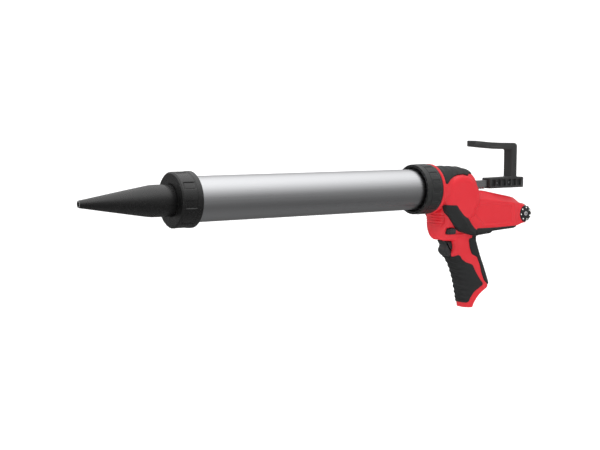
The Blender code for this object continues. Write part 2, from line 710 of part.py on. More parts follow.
def make_insides():
    """Guides, motor, gearbox, switch, terminals and the dial's bracket, all fixed in the case."""
    slot_clear = 0.35
    half = rack_width / 2
    for label, x0, x1 in (("front", 405.5, 414.5), ("rear", 453, 461)):
        guide = place(f"rack_guide_{label}",
                      block(x0, x1, -half - 5, half + 1.6, rack_tip - 4, rack_top + 4), brass)
        way = place(f"rack_guide_{label}_way",
                    block(x0 - 5, x1 + 5, -half - slot_clear, half + slot_clear, rack_tip - slot_clear,
                          rack_top + slot_clear), None, guide=True)
        boolean(guide, way)
    start = idler_x + bevel_large + 6
    can = motor_radius - 0.4
    bore = spindle_radius + 1
    place("gearbox", turned([(start, bore), (start, can - 1.8), (start + 3, can), (gearbox_end, can),
                             (gearbox_end, bore)], 32, z=motor_z), black_plastic)
    place("motor", turned([(gearbox_end + gap, 0), (gearbox_end + gap, motor_radius - 1),
                           (gearbox_end + 1.5, motor_radius), (motor_end - 4, motor_radius),
                           (motor_end - 4, 6), (motor_end, 6), (motor_end, 0)], 32, z=motor_z), steel)
    rear = trigger_back + trigger_travel + 2.5
    place("switch_body", block(rear, rear + switch_length, -7.5, 7.5, -99, -77), black_plastic)
    turns, wire, coil, spring_z = 4, 0.5, 2.6, -86
    rings = []
    length = rear - trigger_back - 2 * wire - 2 * gap
    for i in range(turns * 8 + 1):
        angle = math.tau * i / 8
        middle = Vector((trigger_back + gap + wire + length * i / (turns * 8),
                         coil * math.cos(angle), spring_z + coil * math.sin(angle)))
        out = Vector((0, math.cos(angle), math.sin(angle)))
        rings.append([tuple(middle + out * wire * math.cos(a) + Vector((wire * math.sin(a), 0, 0)))
                      for a in (math.tau * k / 4 for k in range(4))])
    place("trigger_spring", loft(rings), steel)
    place("battery_terminals", prism([(457, -120), (481, -120), (482, -111), (456, -111)], -9, 9),
          black_plastic)
    place("control_board", block(rear + 1, rear + switch_length - 1, -8, 8, -75.4, -73.8), black_plastic)


def make_dial():
    """Two scalloped discs on one pin, turning on a bracket that reaches back from the case."""
    outline = []
    for i in range(dial_scallops * 4):
        angle = math.tau * i / (dial_scallops * 4)
        radius = dial_radius - 0.5 + 0.5 * math.cos(dial_scallops * angle)
        outline.append((dial_x + radius * math.cos(angle), dial_z + radius * math.sin(angle)))
    bore = place("dial_bore", prism(circle(dial_x, dial_z, dial_pin + gap, 16), -40, 40), None, guide=True)
    for label, low, high in (("left", -dial_half_width, -dial_inner), ("right", dial_inner, dial_half_width)):
        boolean(place(f"dial_wheel_{label}", prism(outline, low, high), black_plastic,
                      (dial_x, 0, dial_z)), bore)
    axle("dial_pin", dial_x, dial_z, -dial_half_width - 1, dial_half_width + 1, dial_pin, steel, 16)
    reach = 5.0
    arm = [(bracket_front, dial_z - reach), (dial_x - 6, dial_z - reach)]
    for i in range(9):
        angle = math.radians(-100 + 25 * i)
        arm.append((dial_x + reach * math.cos(angle), dial_z + reach * math.sin(angle)))
    arm += [(dial_x - 6, dial_z + reach), (bracket_front, dial_z + reach)]
    bracket = place("dial_bracket", prism(arm, 0.5 - dial_inner, dial_inner - 0.5), black_plastic)
    hole = place("dial_bracket_hole", prism(circle(dial_x, dial_z, dial_pin + 0.15, 16), -20, 20), None,
                 guide=True)
    boolean(bracket, hole)


def make_controls():
    outline = [(419, -72.8), (424, trigger_top), (trigger_back, trigger_top),
               (trigger_back, trigger_bottom + 2), (433, trigger_bottom),
               (429, -97.2), (424, -94), (420.6, -89.5), (420, -86), (422.2, -82), (422.2, -79),
               (419, -76)]
    trigger = place("trigger", prism(outline, -trigger_half_width, trigger_half_width), black_plastic)
    bevel = trigger.modifiers.new("rounding", 'BEVEL')
    bevel.width = 1.6 * mm
    bevel.segments = 2
    bevel.limit_method = 'ANGLE'
    low = -lock_reach - lock_travel / 2
    place("lock_button", prism(lock_outline, low, lock_reach - lock_travel / 2), black_plastic)


def make_pads():
    top = [(flange_rear + 2, 60), (flange_rear + 2, 9), (407.5, 7.5), (413.5, 12.8), (421.5, 16.6),
           (430, 18.6), (441, 19.4), (450, 17.2), (462, 18), (473, 14), (478, 18), (478, 60)]
    pad("top_pad", top)
    front = [(405, -98.6), (424, -98.6), (440, -92.5), (446, -100), (452, -104), (466, -109), (471, -119),
             (480, -131), (487, -138.5), (475, -143), (466, -149), (463.5, -157), (462, -163), (462, -166.5),
             (405, -166.5)]
    boolean(pad("front_grip", front), trigger_way)
    rear = [(456, -71), (540, -71), (540, -138.5), (497, -138.5), (489.5, -132), (481, -121), (477, -108),
            (468, -96.5), (458, -90), (455, -80)]
    pad("rear_grip", rear)
    under = [(470, -57.6), (548, -57.2), (548, -90), (484, -90), (484, -70.4), (463, -70.4), (463, -60)]
    pad("underside_pad", under)
    band = [(406, -23), (430, -23), (445, -38), (460, -53), (462.5, -69), (440, -62.5), (430, -57.5),
            (420, -48.5), (411, -37)]
    ridge_a, ridge_b = Vector((418, -24)), Vector((455, -58))
    crest = []
    for x, z in band:
        share = (Vector((x, z)) - ridge_a).dot(ridge_b - ridge_a) / (ridge_b - ridge_a).length_squared
        nearest = ridge_a.lerp(ridge_b, min(1, max(0, share)))
        crest.append(Vector((x, z)).lerp(nearest, 0.75))
    for label, side in (("left", -1), ("right", 1)):
        rings = [[(x, side * y, z) for x, z in outline]
                 for y, outline in ((12, band), (band_half_width - 6, band), (band_half_width, crest))]
        clear(place(f"side_band_{label}", loft(rings), black_rubber))


case_half("case_left", -1)
case_half("case_right", 1)
for number, (x, z, depth) in enumerate(screw_places):
    case_screw(number, x, z, depth)
make_barrel()
make_front()
make_collar()
make_rod()
make_handle()
make_gears()
bearing_plate("bearing_plate_left", -13.0, -10.5)
bearing_plate("bearing_plate_right", 13.5, 16.5)
make_insides()
make_dial()
make_controls()
make_pads()
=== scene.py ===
import math

import bmesh
import bpy
import numpy as np
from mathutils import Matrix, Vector


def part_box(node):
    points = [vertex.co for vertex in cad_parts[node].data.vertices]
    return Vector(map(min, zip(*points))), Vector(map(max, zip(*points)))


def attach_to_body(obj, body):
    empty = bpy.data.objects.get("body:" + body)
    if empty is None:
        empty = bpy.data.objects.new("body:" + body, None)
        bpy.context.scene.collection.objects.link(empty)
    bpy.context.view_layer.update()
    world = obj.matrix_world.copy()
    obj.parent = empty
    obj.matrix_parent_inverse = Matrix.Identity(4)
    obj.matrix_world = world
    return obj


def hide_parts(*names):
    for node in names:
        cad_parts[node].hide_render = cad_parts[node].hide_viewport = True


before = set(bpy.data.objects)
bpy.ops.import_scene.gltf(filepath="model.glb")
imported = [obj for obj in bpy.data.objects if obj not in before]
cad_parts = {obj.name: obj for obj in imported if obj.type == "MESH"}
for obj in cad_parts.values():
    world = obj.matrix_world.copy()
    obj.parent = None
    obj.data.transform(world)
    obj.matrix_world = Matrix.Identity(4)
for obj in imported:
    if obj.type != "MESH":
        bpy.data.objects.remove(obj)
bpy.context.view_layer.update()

# Lengths below are in millimetres: x runs back from the front face of the cap, z is up from
# the middle of the barrel, and y is across the tool.
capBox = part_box("front_cap")
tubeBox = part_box("barrel_tube")
barrelStart = np.array((capBox[0][0], 0.0, (tubeBox[0][2] + tubeBox[1][2]) / 2))


def toMetres(points):
    return np.asarray(points, float) * 0.001 + barrelStart


# Materials

def newGroup(name, inputs, outputs):
    group = bpy.data.node_groups.new(name, "ShaderNodeTree")
    for label, value in inputs.items():
        kind = "NodeSocketFloat" if isinstance(value, float) else "NodeSocketColor"
        socket = group.interface.new_socket(name=label, in_out="INPUT", socket_type=kind)
        socket.default_value = value
    for label, kind in outputs.items():
        group.interface.new_socket(name=label, in_out="OUTPUT", socket_type=kind)
    start = group.nodes.new("NodeGroupInput")
    end = group.nodes.new("NodeGroupOutput")
    return group, start, end


def addNoise(group, vector, scale, detail=3.0):
    noise = group.nodes.new("ShaderNodeTexNoise")
    noise.inputs["Detail"].default_value = detail
    if isinstance(scale, (int, float)):
        noise.inputs["Scale"].default_value = scale
    else:
        group.links.new(scale, noise.inputs["Scale"])
    group.links.new(vector, noise.inputs["Vector"])
    return noise


def addMath(group, operation, a, b):
    node = group.nodes.new("ShaderNodeMath")
    node.operation = operation
    for socket, value in zip(node.inputs, (a, b)):
        if isinstance(value, (int, float)):
            socket.default_value = value
        else:
            group.links.new(value, socket)
    return node.outputs[0]


def addRange(group, value, low, high, outLow, outHigh):
    node = group.nodes.new("ShaderNodeMapRange")
    group.links.new(value, node.inputs["Value"])
    for label, number in (("From Min", low), ("From Max", high), ("To Min", outLow), ("To Max", outHigh)):
        if isinstance(number, (int, float)):
            node.inputs[label].default_value = number
        else:
            group.links.new(number, node.inputs[label])
    return node.outputs["Result"]


def makeMouldGrain():
    # spark-eroded skin of a moulding: fine pimples, broad sheen patches, pale rubbed edges
    group, start, end = newGroup(
        "mouldGrain",
        {"Color": (0.5, 0.5, 0.5, 1), "Rubbed Color": (0.8, 0.8, 0.8, 1), "Grain Scale": 900.0,
         "Rough Low": 0.35, "Rough High": 0.5, "Rub": 0.3, "Patch": 0.12},
        {"Color": "NodeSocketColor", "Roughness": "NodeSocketFloat", "Height": "NodeSocketFloat"})
    place = group.nodes.new("ShaderNodeTexCoord").outputs["Object"]
    fine = addNoise(group, place, start.outputs["Grain Scale"], 2.0)
    broad = addNoise(group, place, 22.0, 4.0)
    smear = addNoise(group, place, 70.0, 6.0)
    group.links.new(fine.outputs["Fac"], end.inputs["Height"])

    rough = addRange(group, broad.outputs["Fac"], 0.32, 0.68, start.outputs["Rough Low"],
                     start.outputs["Rough High"])
    pimple = addMath(group, "MULTIPLY", addMath(group, "SUBTRACT", fine.outputs["Fac"], 0.5), 0.12)
    group.links.new(addMath(group, "ADD", rough, pimple), end.inputs["Roughness"])

    edge = addRange(group, group.nodes.new("ShaderNodeNewGeometry").outputs["Pointiness"],
                    0.53, 0.62, 0.0, 1.0)
    worn = addMath(group, "MULTIPLY", edge, addRange(group, smear.outputs["Fac"], 0.42, 0.66, 0.15, 1.0))
    worn = addMath(group, "MULTIPLY", worn, start.outputs["Rub"])
    patch = addMath(group, "MULTIPLY", addMath(group, "SUBTRACT", broad.outputs["Fac"], 0.5),
                    start.outputs["Patch"])
    tone = group.nodes.new("ShaderNodeHueSaturation")
    group.links.new(start.outputs["Color"], tone.inputs["Color"])
    group.links.new(addMath(group, "ADD", patch, 1.0), tone.inputs["Value"])
    mix = group.nodes.new("ShaderNodeMix")
    mix.data_type = "RGBA"
    group.links.new(worn, mix.inputs["Factor"])
    group.links.new(tone.outputs["Color"], mix.inputs["A"])
    group.links.new(start.outputs["Rubbed Color"], mix.inputs["B"])
    group.links.new(mix.outputs["Result"], end.inputs["Color"])
    return group


def makeBrushing():
    # long scratches: the noise is stretched along one direction by the Stretch inputs
    group, start, end = newGroup(
        "brushing",
        {"Color": (0.6, 0.6, 0.6, 1), "Along": 4.0, "Across": 1400.0, "Rough Low": 0.2,
         "Rough High": 0.34, "Tone": 0.1},
        {"Color": "NodeSocketColor", "Roughness": "NodeSocketFloat", "Height": "NodeSocketFloat"})
    place = group.nodes.new("ShaderNodeTexCoord").outputs["Object"]
    stretch = group.nodes.new("ShaderNodeCombineXYZ")
    group.links.new(start.outputs["Along"], stretch.inputs["X"])
    group.links.new(start.outputs["Across"], stretch.inputs["Y"])
    group.links.new(start.outputs["Across"], stretch.inputs["Z"])
    scaled = group.nodes.new("ShaderNodeVectorMath")
    scaled.operation = "MULTIPLY"
    group.links.new(place, scaled.inputs[0])
    group.links.new(stretch.outputs[0], scaled.inputs[1])
    hair = addNoise(group, scaled.outputs[0], 1.0, 3.0)
    cloud = addNoise(group, place, 14.0, 3.0)
    group.links.new(hair.outputs["Fac"], end.inputs["Height"])
    blend = addMath(group, "ADD", addMath(group, "MULTIPLY", hair.outputs["Fac"], 0.7),
                    addMath(group, "MULTIPLY", cloud.outputs["Fac"], 0.3))
    group.links.new(addRange(group, blend, 0.3, 0.7, start.outputs["Rough Low"],
                             start.outputs["Rough High"]), end.inputs["Roughness"])
    tone = group.nodes.new("ShaderNodeHueSaturation")
    group.links.new(start.outputs["Color"], tone.inputs["Color"])
    swing = addMath(group, "MULTIPLY", addMath(group, "SUBTRACT", blend, 0.5), start.outputs["Tone"])
    group.links.new(addMath(group, "ADD", swing, 1.0), tone.inputs["Value"])
    group.links.new(tone.outputs["Color"], end.inputs["Color"])
    return group


mouldGrain = makeMouldGrain()
brushing = makeBrushing()


def makeMaterial(name, group, values, bump, distance, metallic=0.0, specular=0.5, coat=0.0):
    made = bpy.data.materials.new(name)
    made.use_nodes = True
    tree = made.node_tree
    shader = tree.nodes["Principled BSDF"]
    shader.inputs["Metallic"].default_value = metallic
    shader.inputs["Specular IOR Level"].default_value = specular
    shader.inputs["Coat Weight"].default_value = coat
    effect = tree.nodes.new("ShaderNodeGroup")
    effect.node_tree = group
    for label, value in values.items():
        effect.inputs[label].default_value = value
    raised = tree.nodes.new("ShaderNodeBump")
    raised.inputs["Strength"].default_value = bump
    raised.inputs["Distance"].default_value = distance
    tree.links.new(effect.outputs["Color"], shader.inputs["Base Color"])
    tree.links.new(effect.outputs["Roughness"], shader.inputs["Roughness"])
    tree.links.new(effect.outputs["Height"], raised.inputs["Height"])
    tree.links.new(raised.outputs["Normal"], shader.inputs["Normal"])
    return made


def moulded(name, color, rubbed, rough, scale=900.0, bump=0.2, rub=0.25, patch=0.12, specular=0.5):
    values = {"Color": (*color, 1), "Rubbed Color": (*rubbed, 1), "Grain Scale": scale,
              "Rough Low": rough[0], "Rough High": rough[1], "Rub": rub, "Patch": patch}
    return makeMaterial(name, mouldGrain, values, bump, 0.0002, specular=specular)


def brushed(name, color, along, across, rough, tone=0.12, bump=0.12):
    values = {"Color": (*color, 1), "Along": along, "Across": across, "Rough Low": rough[0],
              "Rough High": rough[1], "Tone": tone}
    return makeMaterial(name, brushing, values, bump, 0.0001, metallic=1.0)


redShell = moulded("redShell", (0.60, 0.012, 0.022), (0.78, 0.10, 0.10), (0.30, 0.42), 1100.0, 0.16, 0.35)
gripRubber = moulded("gripRubber", (0.014, 0.015, 0.0155), (0.05, 0.05, 0.05), (0.55, 0.7), 1500.0, 0.35, 0.4)
collarBlack = moulded("collarBlack", (0.018, 0.019, 0.019), (0.10, 0.10, 0.10), (0.33, 0.46), 1300.0, 0.3,
                      0.5)
nozzleBlack = moulded("nozzleBlack", (0.005, 0.005, 0.005), (0.05, 0.05, 0.05), (0.22, 0.31), 700.0, 0.08,
                      0.2, specular=0.75)
handleBlack = moulded("handleBlack", (0.028, 0.028, 0.028), (0.10, 0.10, 0.10), (0.38, 0.52), 1200.0, 0.3,
                      0.5)
triggerBlack = moulded("triggerBlack", (0.024, 0.025, 0.026), (0.09, 0.09, 0.09), (0.34, 0.48), 1200.0, 0.22)
dialBlack = moulded("dialBlack", (0.016, 0.016, 0.017), (0.12, 0.12, 0.12), (0.3, 0.42), 1200.0, 0.2, 0.5)
dotWhite = moulded("dotWhite", (0.80, 0.80, 0.78), (0.9, 0.9, 0.9), (0.35, 0.5), 1200.0, 0.1, 0.1)
hubGrey = moulded("hubGrey", (0.42, 0.41, 0.42), (0.6, 0.6, 0.6), (0.3, 0.42), 1200.0, 0.15, 0.3)
tipGrey = moulded("tipGrey", (0.30, 0.30, 0.30), (0.5, 0.5, 0.5), (0.4, 0.55), 1400.0, 0.3, 0.3)
innerBlack = moulded("innerBlack", (0.015, 0.015, 0.016), (0.05, 0.05, 0.05), (0.45, 0.6), 1000.0, 0.2)
boardGreen = moulded("boardGreen", (0.02, 0.10, 0.04), (0.1, 0.2, 0.1), (0.3, 0.5), 600.0, 0.2)
barrelMetal = brushed("barrelMetal", (0.66, 0.665, 0.68), 3.0, 1700.0, (0.24, 0.36))
rackSteel = brushed("rackSteel", (0.52, 0.52, 0.53), 30.0, 1500.0, (0.22, 0.38))
gearSteel = brushed("gearSteel", (0.42, 0.42, 0.43), 300.0, 900.0, (0.28, 0.45))
screwSteel = brushed("screwSteel", (0.30, 0.30, 0.31), 900.0, 900.0, (0.25, 0.4))
bushBrass = brushed("bushBrass", (0.62, 0.42, 0.13), 200.0, 1100.0, (0.22, 0.36))
print("materials made")


# Mesh tools

def finishMesh(name, work, look, sharp=35.0):
    # turns a bmesh in millimetres into an object
    bmesh.ops.recalc_face_normals(work, faces=work.faces)
    mesh = bpy.data.meshes.new(name)
    work.to_mesh(mesh)
    work.free()
    mesh.materials.append(look)
    made = bpy.data.objects.new(name, mesh)
    bpy.context.scene.collection.objects.link(made)
    shade(made, sharp)
    return made


def shade(made, sharp=35.0):
    made.data.shade_smooth()
    if sharp:
        made.data.set_sharp_from_angle(angle=math.radians(sharp))


def getPoints(mesh):
    points = np.empty(len(mesh.vertices) * 3)
    mesh.vertices.foreach_get("co", points)
    return points.reshape(-1, 3)


def setPoints(mesh, points):
    mesh.vertices.foreach_set("co", np.ascontiguousarray(points, np.float32).ravel())
    mesh.update()


def settle(made):
    # applies the object's modifiers to its mesh
    shown = made.evaluated_get(bpy.context.evaluated_depsgraph_get())
    mesh = bpy.data.meshes.new_from_object(shown)
    old = made.data
    made.modifiers.clear()
    made.data = mesh
    mesh.name = old.name
    bpy.data.meshes.remove(old)
    return made


def discard(made):
    mesh = made.data
    bpy.data.objects.remove(made)
    bpy.data.meshes.remove(mesh)


def attach(made, body, slot, *nodes):
    # takes a piece from millimetres to its place in the tool
    setPoints(made.data, toMetres(getPoints(made.data)))
    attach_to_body(made, body)
    if nodes:
        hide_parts(*nodes)
    return made


def combine(target, other, operation="DIFFERENCE"):
    step = target.modifiers.new("combine", "BOOLEAN")
    step.operation = operation
    step.solver = "MANIFOLD"
    step.object = other
    settle(target)
    discard(other)
    return target


def softenEdges(made, width, segments=3, angle=32.0):
    step = made.modifiers.new("soften", "BEVEL")
    step.width = width
    step.segments = segments
    step.limit_method = "ANGLE"
    step.angle_limit = math.radians(angle)
    settle(made)
    shade(made, 40)
    return made


def roundCorners(points, radii, steps=5, closed=True):
    # replaces each corner of an outline by an arc of its own radius
    points = [np.asarray(p, float) for p in points]
    count = len(points)
    if isinstance(radii, (int, float)):
        radii = [radii] * count
    result = []
    for i, corner in enumerate(points):
        radius = radii[i]
        if radius <= 0 or (not closed and i in (0, count - 1)):
            result.append(tuple(corner))
            continue
        a, b = points[i - 1] - corner, points[(i + 1) % count] - corner
        la, lb = np.linalg.norm(a), np.linalg.norm(b)
        a, b = a / la, b / lb
        half = math.acos(max(-1, min(1, float(a @ b)))) / 2
        reach = min(radius / math.tan(half), la * 0.48, lb * 0.48)
        radius = reach * math.tan(half)
        middle = corner + (a + b) / np.linalg.norm(a + b) * (radius / math.sin(half))
        first, last = corner + a * reach - middle, corner + b * reach - middle
        startTurn = math.atan2(first[1], first[0])
        turn = (math.atan2(last[1], last[0]) - startTurn + math.pi) % math.tau - math.pi
        for k in range(steps + 1):
            angle = startTurn + turn * k / steps
            result.append((middle[0] + radius * math.cos(angle), middle[1] + radius * math.sin(angle)))
    return result


def turnedWork(profile, steps, radiusAt=None):
    # a closed outline of (x, radius) points turned about the barrel's axis
    profile = np.array(profile, float)
    angles = np.arange(steps) * math.tau / steps
    x = np.repeat(profile[:, 0:1], steps, 1)
    r = np.repeat(profile[:, 1:2], steps, 1)
    if radiusAt:
        r = radiusAt(x, r, np.repeat(angles[None, :], len(profile), 0))
    points = np.stack((x, r * np.sin(angles), r * np.cos(angles)), -1)
    return gridWork(points, True, True)


def gridWork(points, aroundRows, aroundColumns, capped=False):
    rows, columns = points.shape[:2]
    work = bmesh.new()
    verts = [[work.verts.new(p) for p in row] for row in points]
    for i in range(rows if aroundRows else rows - 1):
        for j in range(columns if aroundColumns else columns - 1):
            a, b = (i + 1) % rows, (j + 1) % columns
            work.faces.new((verts[i][j], verts[i][b], verts[a][b], verts[a][j]))
    if capped:
        work.faces.new(verts[0])
        work.faces.new(verts[-1])
    return work


def prismWork(outline, low, high, axis=1):
    # an outline pushed along y (axis 1) or along x (axis 0)
    work = bmesh.new()
    corners = []
    for a, b in outline:
        corners.append(work.verts.new((a, low, b) if axis == 1 else (low, a, b)))
    face = work.faces.new(corners)
    pushed = bmesh.ops.extrude_face_region(work, geom=[face])
    moved = [item for item in pushed["geom"] if isinstance(item, bmesh.types.BMVert)]
    offset = (0, high - low, 0) if axis == 1 else (high - low, 0, 0)
    bmesh.ops.translate(work, verts=moved, vec=offset)
    return work


def rectangle(x0, z0, x1, z1):
    return [(x0, z0), (x1, z0), (x1, z1), (x0, z1)]


def ringOutline(x, z, radius, steps=48):
    turns = [math.tau * i / steps for i in range(steps)]
    return [(x + radius * math.cos(t), z + radius * math.sin(t)) for t in turns]


def joinWorks(works):
    # several closed shells in one bmesh
    whole = bmesh.new()
    for work in works:
        mesh = bpy.data.meshes.new("shell")
        bmesh.ops.recalc_face_normals(work, faces=work.faces)
        work.to_mesh(mesh)
        work.free()
        whole.from_mesh(mesh)
        bpy.data.meshes.remove(mesh)
    return whole


def smoothCurve(points, steps=6, closed=True):
    # an even curve through the points
    points = np.array(points, float)
    count = len(points)
    result = []
    for i in range(count if closed else count - 1):
        if closed:
            a, b, c, d = (points[(i + k) % count] for k in (-1, 0, 1, 2))
        else:
            a, b, c, d = (points[min(max(i + k, 0), count - 1)] for k in (-1, 0, 1, 2))
        for t in np.arange(steps) / steps:
            result.append(0.5 * (2 * b + (c - a) * t + (2 * a - 5 * b + 4 * c - d) * t * t
                                 + (3 * b - a - 3 * c + d) * t ** 3))
    if not closed:
        result.append(points[-1])
    return result


def insetOutline(outline, amount):
    # moves every point of an outline inwards along its own normal
    points = np.array(outline, float)
    ahead, behind = np.roll(points, -1, 0), np.roll(points, 1, 0)
    along = ahead - behind
    along /= np.linalg.norm(along, axis=1)[:, None]
    area = np.sum(points[:, 0] * ahead[:, 1] - ahead[:, 0] * points[:, 1])
    inward = np.stack((-along[:, 1], along[:, 0]), 1) * math.copysign(1, area)
    return points + inward * amount


def roundedSlabWork(outline, low, high, radius, steps=4):
    # a slab across the tool whose two faces roll over into its sides
    rows = []
    for k in range(steps + 1):
        turn = math.pi / 2 * k / steps
        rows.append((low + radius * (1 - math.sin(turn)), radius * (1 - math.cos(turn))))
    rows = rows[::-1]
    rows += [(high + low - y, inset) for y, inset in rows[::-1]]
    rings = []
    for y, inset in rows:
        ring = insetOutline(outline, inset)
        rings.append(np.stack((ring[:, 0], np.full(len(ring), y), ring[:, 1]), 1))
    return gridWork(np.array(rings), False, True, True)


def smoothStep(low, high, value):
    share = np.clip((value - low) / (high - low), 0, 1)
    return share * share * (3 - 2 * share)


def insideDepth(x, z, outline):
    # distance to the outline, positive inside it
    px, pz = np.asarray(x, float), np.asarray(z, float)
    outline = [tuple(p) for p in outline]
    best = np.full(px.shape, 1e9)
    inside = np.zeros(px.shape, bool)
    for (ax, az), (bx, bz) in zip(outline, outline[1:] + outline[:1]):
        dx, dz = bx - ax, bz - az
        length = dx * dx + dz * dz
        if length < 1e-9:
            continue
        share = np.clip(((px - ax) * dx + (pz - az) * dz) / length, 0, 1)
        best = np.minimum(best, np.hypot(px - ax - share * dx, pz - az - share * dz))
        crosses = (az > pz) != (bz > pz)
        inside ^= crosses & (px < (bx - ax) * (pz - az) / (bz - az if bz != az else 1e-9) + ax)
    return np.where(inside, best, -best)


# The red case

case = {
    "wall": 2.5, "halfGap": 0.15, "voxel": 0.85, "smoothing": 5,
    "domeX": 437.0, "domeZ": -14.0,
    # front point, back point, half width and squareness of each section
    "barrelEnd": [((392.8, -30.4), (392.8, 30.4), 30.4, 2.0), ((400, -30.2), (400, 30.2), 29.6, 2.0),
                  ((410, -30.4), (410, 29.9), 27.8, 2.0), ((422, -30.8), (422, 29.6), 26.4, 2.05),
                  ((434, -31), (434, 29.0), 25.6, 2.1), ((446, -33), (446, 28.0), 25.0, 2.2),
                  ((456, -34), (456, 25.6), 24.0, 2.3), ((463, -34), (463, 22.4), 22.4, 2.4),
                  ((468, -35), (469, 17.0), 20.0, 2.5), ((474, -36), (475, 3.0), 16.4, 2.6)],
    "nose": [((420, -8), (462, -8), 25.0, 2.6), ((407, -24), (464, -24), 25.7, 2.7),
             ((403.6, -33), (466, -33), 25.7, 2.8), ((403, -45), (468, -45), 24.8, 3.0),
             ((403.0, -57), (470, -57), 21.5, 3.0), ((405.4, -66), (472, -66), 18.0, 3.0),
             ((411, -71.2), (472, -71.2), 15.6, 3.0), ((416.4, -72.7), (470, -72.7), 14.2, 3.0)],
    "grip": [((427, -58), (477, -58), 19.5, 3.2), ((430, -72), (473.5, -72), 17.2, 4.4),
             ((432.5, -82), (477, -82), 16.6, 4.2), ((429.6, -93), (482.6, -93), 16.4, 3.6),
             ((435.1, -101), (487, -101), 16.2, 3.0),
             ((441.1, -112), (492.6, -112), 16.1, 2.8), ((448.0, -130), (500.2, -130), 16.0, 2.8),
             ((451.0, -142), (503.3, -139), 15.8, 2.8), ((454.0, -155), (503.3, -152), 15.6, 2.8),
             ((460.0, -182), (503.3, -182), 15.0, 2.8)],
    # x, underside, half width, ridge height, half width of the top, top
    "motor": [(446, -64, 24.3, -13, 13.0, -0.6), (490, -61.2, 23.3, -17.4, 11.0, -5.2),
              (520, -59.8, 22.3, -20.8, 10.2, -10.9), (541, -59.2, 21.6, -24.0, 9.6, -14.8),
              (550, -58.6, 18.8, -25.0, 9.2, -17.0), (556.5, -57.4, 17.4, -26.4, 9.0, -21.6),
              (563, -55.6, 17.2, -28.0, 9.0, -25.6), (571.6, -54.6, 17.0, -29.0, 9.0, -26.3)],
    "dome": [(0, 32.4), (22.6, 32.4), (25.2, 31.5), (26.8, 29.2), (27.9, 25.8), (28.3, 23.6), (28.5, 22)],
    "base": [(467.5, -170), (470, -163.5), (474.5, -157), (480.5, -151.5), (488.5, -146.8), (503.2, -141)],
    "panel": [(453.2, -30.2), (463.5, -23.4), (500, -22.6), (535.8, -25.4), (535.2, -53.2), (478.2, -53.4)],
    "crease": [(388, -20), (408.5, -22), (409.5, -35), (410, -45), (408.6, -49), (402.5, -58), (388, -62)],
    "lockRecess": [(411, -53.5), (424, -52.6), (431, -57), (440, -61.4), (456, -63), (440, -64.6),
                   (412, -63.4)],
    "flange": [(393.7, 20), (393.7, 33.8), (394.3, 34.2), (398.0, 34.2), (398.5, 33.8), (398.5, 20)],
    "barrelSpace": [(340, 0.01), (340, 35.3), (393.6, 35.3), (393.6, 0.01)],
    "hollowEnd": 555, "panelDepth": 1.3, "creaseDepth": 1.9, "recessDepth": 1.8,
    "ribDepth": 1.1, "ribPitch": 4.0, "ribTop": -35, "ribEndX": 409,
}


def sectionRing(row, offset, steps=80):
    # a squared ellipse whose long axis joins the front point to the back point
    a, b = np.array(row[0:2]), np.array(row[2:4])
    halfWidth, power = row[4], row[5]
    middle, along = (a + b) / 2, (b - a) / np.linalg.norm(b - a)
    half = np.linalg.norm(b - a) / 2 + offset
    turn = (np.arange(steps) + 0.5) * math.tau / steps
    c, s = np.cos(turn), np.sin(turn)
    u = np.sign(c) * np.abs(c) ** (2 / power) * half
    v = np.sign(s) * np.abs(s) ** (2 / power) * (halfWidth + offset)
    return np.stack((middle[0] + along[0] * u, v, middle[1] + along[1] * u), 1)


def sectionShell(rows, offset, endLift=0.0):
    flat = [(*front, *back, halfWidth, power) for front, back, halfWidth, power in rows]
    rings = [sectionRing(row, offset) for row in smoothCurve(flat, 5, False)]
    rings[-1][:, 2] += endLift
    return gridWork(np.array(rings), False, True, True)


def motorShell(offset):
    rings = []
    for x, under, side, ridge, topHalf, top in case["motor"]:
        if offset < 0 and x > case["hollowEnd"]:
            break
        under, side, ridge, topHalf, top = (under - offset, side + offset, ridge + offset * 0.4,
                                            topHalf + offset * 0.6, top + offset)
        right = [(0, under), (side * 0.6, under), (side - 2.6, under + 0.6), (side - 0.6, under + 3.2),
                 (side, under + 6), (side, ridge - 1.2), (side - 0.5, ridge), (topHalf + 1, top - 1.2),
                 (topHalf - 1.5, top - 0.2), (0, top)]
        ring = right + [(-y, z) for y, z in right[-2:0:-1]]
        rings.append([(x, y, z) for y, z in ring])
    return gridWork(np.array(rings), False, True, True)


def domeShell(offset):
    profile = [(-y, r) for y, r in case["dome"][::-1]] + case["dome"][1:]
    turn = np.arange(96) * math.tau / 96
    rings = []
    for y, radius in profile:
        y += math.copysign(1, y) * offset if y else 0
        radius += offset
        rings.append(np.stack((case["domeX"] + radius * np.cos(turn), np.full(96, float(y)),
                               case["domeZ"] + radius * np.sin(turn)), 1))
    return gridWork(np.array(rings), False, True, True)


def skinForm(name, offset, voxel, smoothing):
    shells = [sectionShell(case["barrelEnd"], offset), sectionShell(case["nose"], offset, -offset),
              sectionShell(case["grip"], offset), motorShell(offset), domeShell(offset)]
    if offset >= 0:
        shells.append(turnedWork(case["flange"], 180))
    form = finishMesh(name, joinWorks(shells), redShell, None)
    step = form.modifiers.new("blend", "REMESH")
    step.mode = "VOXEL"
    step.voxel_size = voxel
    if smoothing:
        relax = form.modifiers.new("relax", "SMOOTH")
        relax.factor = 0.5
        relax.iterations = smoothing
    return settle(form)


def getNormals(mesh):
    normals = np.empty(len(mesh.vertices) * 3)
    mesh.vertices.foreach_get("normal", normals)
    return normals.reshape(-1, 3)


